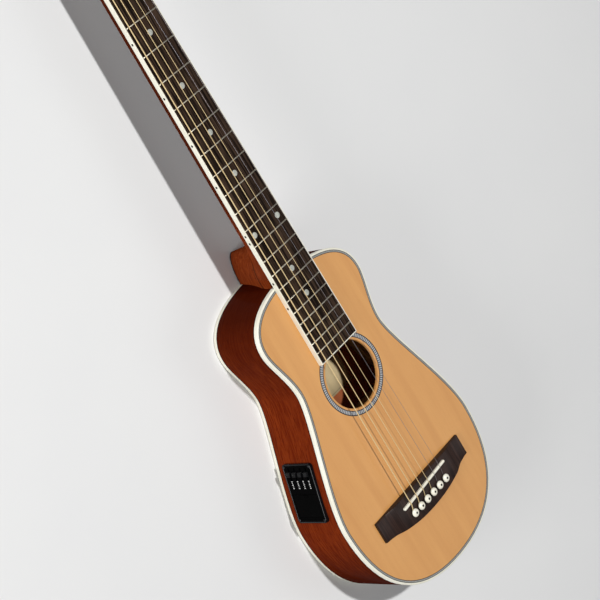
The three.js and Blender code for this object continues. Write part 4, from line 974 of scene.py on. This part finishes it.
# How far each machine's post stands along and across the headstock
MACHINE_PLACES = ((31, 22), (71, 22), (111, 22), (111, -22), (71, -22), (31, -22))
cog = []
for tooth in range(12):
    for share, radius in ((0, 6.5), (0.22, 6.5), (0.42, 5.7), (0.8, 5.7)):
        turn = (tooth + share) / 12 * 2 * math.pi
        cog.append(Vector((radius * math.cos(turn), radius * math.sin(turn))))
worm = [(0, -8.65), (1.4, -8.65), (1.6, -8.4), (1.6, -6.75)]
for turn in range(8):
    worm += [(2.6, -6.6 + 1.6 * turn), (2.6, -6.2 + 1.6 * turn), (1.95, -5.6 + 1.6 * turn)]
worm += [
    (1.95, 6.7), (1.6, 6.75), (1.6, 18.5), (2.3, 18.6), (2.6, 19.0), (2.6, 21.6), (2.2, 22.4), (0, 22.4),
]
for index, (along, across) in enumerate(MACHINE_PLACES):
    post_place = Matrix.Translation((-along, across, 0))
    bm = bench()
    turned(bm, (
        (0, -18.9), (3.0, -18.9), (3.0, 3.4), (2.85, 4.2), (2.75, 6.5), (2.85, 10.6), (3.0, 11.4),
        (3.0, 12.7), (2.75, 13.2), (2.2, 13.5), (0, 13.5),
    ), post_place)
    turned(bm, ((0, -20.1), (1.9, -20.1), (2.3, -19.75), (2.3, -18.7), (0, -18.7)), post_place)
    steps = ((0.96, -18.88), (1.0, -18.6), (1.0, -16.2), (0.96, -15.9))
    slab(bm, *(at_height([p * share for p in cog], height, post_place) for share, height in steps))
    for side in (-1, 1):
        hole = post_place @ Matrix.Translation((0, 0, 9.1)) @ Matrix.Rotation(side * math.pi / 2, 4, "Y")
        turned(bm, ((0, 2.3), (0.95, 2.3), (1.05, 2.95), (1.4, 2.95), (1.5, 2.6)), hole, 16)
    finish_piece(
        bm, f"machine_post_{index + 1}", chrome, [f"tuner_post_{index + 1}"],
        body=f"tuner_post_{index + 1}", place=lay @ tilt, sharp=40,
    )
    outward = Matrix.Rotation(math.copysign(math.pi / 2, -across), 4, "X")
    worm_place = Matrix.Translation((-along - 9.45, across, -17.4)) @ outward
    bm = bench()
    turned(bm, worm, worm_place)
    metal_faces = len(bm.faces)
    knob = bmesh.ops.create_uvsphere(bm, u_segments=32, v_segments=20, radius=1.0)["verts"]
    for corner in knob:
        spread = 1 + 0.10 * corner.co.z
        flatter = math.copysign(abs(corner.co.y) ** 1.25, corner.co.y)
        corner.co = (corner.co.x * 8.5 * min(spread, 1.0), flatter * 3.8, corner.co.z * 7.5)
    bmesh.ops.transform(bm, matrix=worm_place @ Matrix.Translation((0, 0, 28)), verts=knob)
    button = finish_piece(
        bm, f"button_{index + 1}", chrome, [f"tuner_button_{index + 1}"],
        body=f"tuner_button_{index + 1}", place=lay @ tilt, sharp=50,
    )
    button.data.materials.append(cream)
    for face in button.data.polygons[metal_faces:]:
        face.material_index = 1

# Strings
# Two plain steel strings and four wound with bronze. Each runs from its pin over the
# saddle and through its slot in the nut, and is wound twice round its post.
bronze = metal("bronze winding", (0.74, 0.57, 0.30), 0.62, 0.15, (5200, 30, 30), 0.3)
plain_wire = metal("plain wire", (0.30, 0.27, 0.28), 0.38, 0.15, (30, 900, 900), 0.6)


def head_point(along, across, up):
    """A point along and across the headstock and up from its face"""
    return tilt @ Vector((-along, across, up))


for index, diameter in enumerate((0.3, 0.37, 0.54, 0.71, 0.93, 1.1)):
    radius, plain = diameter / 2, index < 2
    along, across = MACHINE_PLACES[index]
    way = math.copysign(1, -across)
    nut_y, saddle_y = 17.75 - index * 7.1, pin_place(index).y
    hole_edge = 607.35 - radius
    crown = SADDLE_PLACE - saddle_y * SADDLE_SLANT + 1.5
    winding, level = 3.35 + radius, 4.85 + radius
    route = [
        Vector((hole_edge, saddle_y, -10)), Vector((hole_edge, saddle_y, 6.0)),
        Vector((hole_edge - 0.15, saddle_y, 6.75 + radius)),
        Vector((hole_edge - 1.0, saddle_y, 7.15 + radius)),
        Vector((crown + 0.4, saddle_y, 9.15 + radius)), Vector((crown - 0.2, saddle_y, 9.28 + radius)),
        Vector((-1.25, nut_y, 6.5 + radius)),
        head_point(along, across + way * winding, level),
    ]
    for i in range(1, 49):
        turn = i / 24
        angle = way * (math.pi / 2 + turn * 2 * math.pi)
        route.append(head_point(
            along - winding * math.cos(angle), across + winding * math.sin(angle),
            level + turn * (diameter + 0.5),
        ))
    curve = bpy.data.curves.new(f"wire_{index + 1}", "CURVE")
    curve.dimensions = "3D"
    curve.bevel_depth = radius / 1000
    curve.bevel_resolution = 2
    curve.use_fill_caps = True
    spline = curve.splines.new("POLY")
    spline.points.add(len(route) - 1)
    for point, target in zip(spline.points, route):
        point.co = (*(lay @ target), 1)
    curve.materials.append(plain_wire if plain else bronze)
    wire = put(f"wire_{index + 1}", curve)
    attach(wire, "guitar")
    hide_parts(f"string_{index + 1}")

# Preamp
# A moulded black panel let into the bass side and held by four screws, with four sliding
# controls and the hinged door of the battery. The battery is a painted block.
black = plastic(
    "black housing", (0.0012, 0.0012, 0.0012), (0.002, 0.002, 0.002), (0.3, 0.03, 0.0), 0.1, 1500
)
battery_paint = plastic("battery paint", (0.05, 0.07, 0.09), (0.03, 0.045, 0.06), (0.4, 0.0, 0.4))
rounded_node(["preamp", "battery_door"], black, 0.0003)
dress(["battery"], battery_paint)

# Millimetres on the panel: x towards the tail, y into the body, z up to the soundboard
panel = Matrix.Translation((0.258944, -0.0935414, 0.0354423)) @ Matrix.Scale(0.001, 4) @ Matrix((
    (0.9523143, 0.3044114, -0.0207628, 0),
    (-0.3044771, 0.9525197, 0, 0),
    (0.0197769, 0.0063218, 0.9997844, 0),
    (0, 0, 0, 1),
))
outwards = Matrix.Rotation(math.pi / 2, 4, "X")
PANEL_LENGTH, PANEL_WIDTH, PANEL_CORNER, PANEL_FACE = 60.0, 42.0, 3.0, 2.4


def rounded_plan(inset, steps=6):
    """The panel's outline, moved inwards by inset"""
    radius = max(PANEL_CORNER - inset, 0.4)
    points = []
    for quarter, (x_sign, y_sign) in enumerate(((1, 1), (-1, 1), (-1, -1), (1, -1))):
        for i in range(steps + 1):
            turn = math.pi / 2 * (quarter + i / steps)
            points.append(Vector((
                x_sign * (PANEL_LENGTH / 2 - inset - radius) + radius * math.cos(turn),
                y_sign * (PANEL_WIDTH / 2 - inset - radius) + radius * math.sin(turn),
            )))
    return points


bm = bench()
rim = [(-0.12, -0.9), (-0.12, 1.7), (0.35, 2.4), (0.75, 2.62), (1.1, 2.62), (1.45, 2.35), (0.8, -0.9)]
hoop(bm, levels(rounded_plan, rim, outwards))
rim_black = plastic("rim black", (0.003, 0.003, 0.004), (0.005, 0.005, 0.006), (0.25, 0.14, 0.15))
finish_piece(bm, "panel_rim", rim_black, place=panel, sharp=20)


def cross_screw(bm, place, radius, rise):
    """A small screw with a domed head and a cross recess"""
    arm, half = radius * 0.62, radius * 0.16
    quarter = [Vector((arm, -half)), Vector((arm, half)), Vector((half, half))]
    cross = [Matrix.Rotation(turn * math.pi / 2, 2) @ p for turn in range(4) for p in quarter]
    foot = ring(bm, at_height(circle(radius, 0, 0, 24), -0.6, place))
    steps = ((1.0, 0.35 * rise), (0.93, 0.7 * rise), (0.76, rise))
    crown = carry(bm, foot, *(at_height(circle(radius * s, 0, 0, 24), h, place) for s, h in steps))
    recess = ring(bm, at_height(cross, rise, place))
    fill(bm, foot)
    fill(bm, crown, recess)
    fill(bm, carry(bm, recess, at_height(cross, rise - 0.5 * radius, place)))


dark_steel = metal("blackened steel", (0.055, 0.055, 0.06), 0.34, 0.2)
bm = bench()
for x in (-27.2, 27.2):
    for z in (-18.35, 18.35):
        cross_screw(bm, outwards @ Matrix.Translation((x, z, PANEL_FACE)), 1.2, 0.45)
finish_piece(bm, "panel_screws", dark_steel, place=panel, sharp=40)

SLIDER_LEVELS = [(index - 1.5) * 8.4 for index in range(4)]
white_ink = plastic("white ink", (0.62, 0.62, 0.60), (0.50, 0.50, 0.49), (0.5, 0.0, 0.2))
bm = bench()
for z in SLIDER_LEVELS:
    for step in range(5):
        tick = (0.9, 0.12, 1.0 if step % 2 else 1.7)
        block(bm, tick, (-12.6 + 1.75 * step, -PANEL_FACE, z))
finish_piece(bm, "slider_marks", white_ink, place=panel)

cap_black = plastic("cap black", (0.006, 0.006, 0.006), (0.008, 0.008, 0.009), (0.3, 0.1, 0.1))
cap_section = [
    (2.5, 0.0), (2.5, 1.2), (2.15, 1.7), (1.95, 2.5), (1.55, 2.6), (1.15, 2.45), (0.95, 1.9),
    (0.65, 1.9), (0.45, 2.45), (0.2, 2.6),
]
cap_section += [(-x, rise) for x, rise in reversed(cap_section)]
CAP_PLACE = -20
for index, z in enumerate(SLIDER_LEVELS):
    bm = bench()
    sections = []
    for reach, share in ((-2.6, 0.86), (-2.35, 1.0), (2.35, 1.0), (2.6, 0.86)):
        sections.append([
            (CAP_PLACE + share * x, -2.75 - share * rise, z + reach) for x, rise in cap_section
        ])
    loft(bm, sections)
    block(bm, (2.5, 1.7, 1.1), (CAP_PLACE, -2.0, z))
    finish_piece(
        bm, f"slider_cap_{index + 1}", cap_black, [f"fader_{index + 1}"],
        body=f"fader_{index + 1}", place=panel, sharp=40,
    )

# Strap button with the jack socket
# A turned and plated pin at the tail, bored for the plug, with its nut inside the body.
tail_frame = lay @ Matrix.Translation((TAIL, 0, -37)) @ Matrix.Rotation(math.pi / 2, 4, "Y")
bm = bench()
turned(bm, (
    (3.4, -27.25), (7.8, -27.25), (8.0, -27.0), (8.0, -24.5), (7.8, -24.25), (5.8, -24.25),
    (5.8, 0.25), (8.3, 0.25), (8.6, 0.6), (8.5, 1.6), (7.9, 2.3), (6.0, 2.6), (5.4, 3.4),
    (5.4, 6.6), (5.9, 7.5), (7.0, 8.1), (7.2, 8.8), (7.1, 10.3), (6.7, 10.8), (6.2, 10.95),
    (3.9, 10.95), (3.4, 10.5), (3.4, -27.25),
), count=48)
finish_piece(
    bm, "turned_strap_button", chrome, ["end_pin_jack"], place=tail_frame, sharp=40
)

# Paper label
# A plain cream slip with a ruled border, pasted on the inside of the back under the
# sound hole. Nothing is printed on it.
LABEL_LENGTH, LABEL_WIDTH = 70, 95
paper, tree, shader = start_material("label paper", 0.8)
split = node(tree, "SeparateXYZ", vector=spot(tree, "UV")).outputs
ruled = 0.5
for axis, size in (("X", LABEL_LENGTH), ("Y", LABEL_WIDTH)):
    away = maths(tree, "ABSOLUTE", split[axis])
    line = maths(tree, "COMPARE", away, size / 2000 - 0.0022, 0.0003)
    ruled = maths(tree, "MAXIMUM", line, ruled)
fibres = stretched(tree, spot(tree), (500, 900, 500), detail=3.0)
sheet = tinted(tree, fibres, (0.97, 0.76, 0.43), (0.89, 0.67, 0.35), 0.6)
surface(tree, shader, tinted(tree, ruled, sheet, (0.30, 0.26, 0.15), 0.8), fibres, 0.1)
bm = bench()
bmesh.ops.create_grid(bm, x_segments=4, y_segments=60, size=0.5)
uv = bm.loops.layers.uv.new("run")
for face in bm.faces:
    for loop in face.loops:
        loop[uv].uv = (loop.vert.co.x * LABEL_LENGTH / 1000, loop.vert.co.y * LABEL_WIDTH / 1000)
for corner in bm.verts:
    x, y = 461 + corner.co.x * LABEL_LENGTH, corner.co.y * LABEL_WIDTH
    over = min(max((11.5 - abs(y)) / 3.5, 0), 1)
    corner.co = (x, y, back_level(x) + 2.68 + 2.3 * over * over * (3 - 2 * over))
slip = finish_piece(bm, "paper_label", paper, shell=True, sharp=60)
wall = slip.modifiers.new("wall", "SOLIDIFY")
wall.thickness, wall.offset = 0.00015, 1

# Floor and light
# A plain pale floor, with a small lamp above the neck and a soft one at either side.
floor_material, tree, shader = start_material("pale floor", 0.9)
dust = stretched(tree, spot(tree), (9, 9, 9), detail=4.0)
feed(tree, shader.inputs["Base Color"], tinted(tree, dust, (0.80, 0.80, 0.79), (0.77, 0.77, 0.77)))
bm = bmesh.new()
bmesh.ops.create_grid(bm, x_segments=1, y_segments=1, size=6)
bmesh.ops.translate(bm, vec=(0, 0, -0.0004), verts=bm.verts)
off_bench(bm, "floor", floor_material)


def lamp(name, place, size, power, aim=(0.1, 0, 0)):
    data = bpy.data.lights.new(name, "AREA")
    data.size, data.energy = size, power
    light = put(name, data)
    light.location = place
    light.rotation_euler = (Vector(aim) - Vector(place)).to_track_quat("-Z", "Y").to_euler()


lamp("key", (-0.46, -0.09, 2.35), 0.09, 41, (0.19, 0, 0))
lamp("soft", (0.9, 1.1, 1.6), 0.9, 4)
lamp("fill", (-0.3, -2.2, 0.5), 1.2, 38)
world = bpy.data.worlds.new("studio")
world.use_nodes = True
sky = world.node_tree.nodes["Background"].inputs
sky["Color"].default_value = (0.95, 0.97, 1.0, 1)
sky["Strength"].default_value = 0.11
bpy.context.scene.world = world
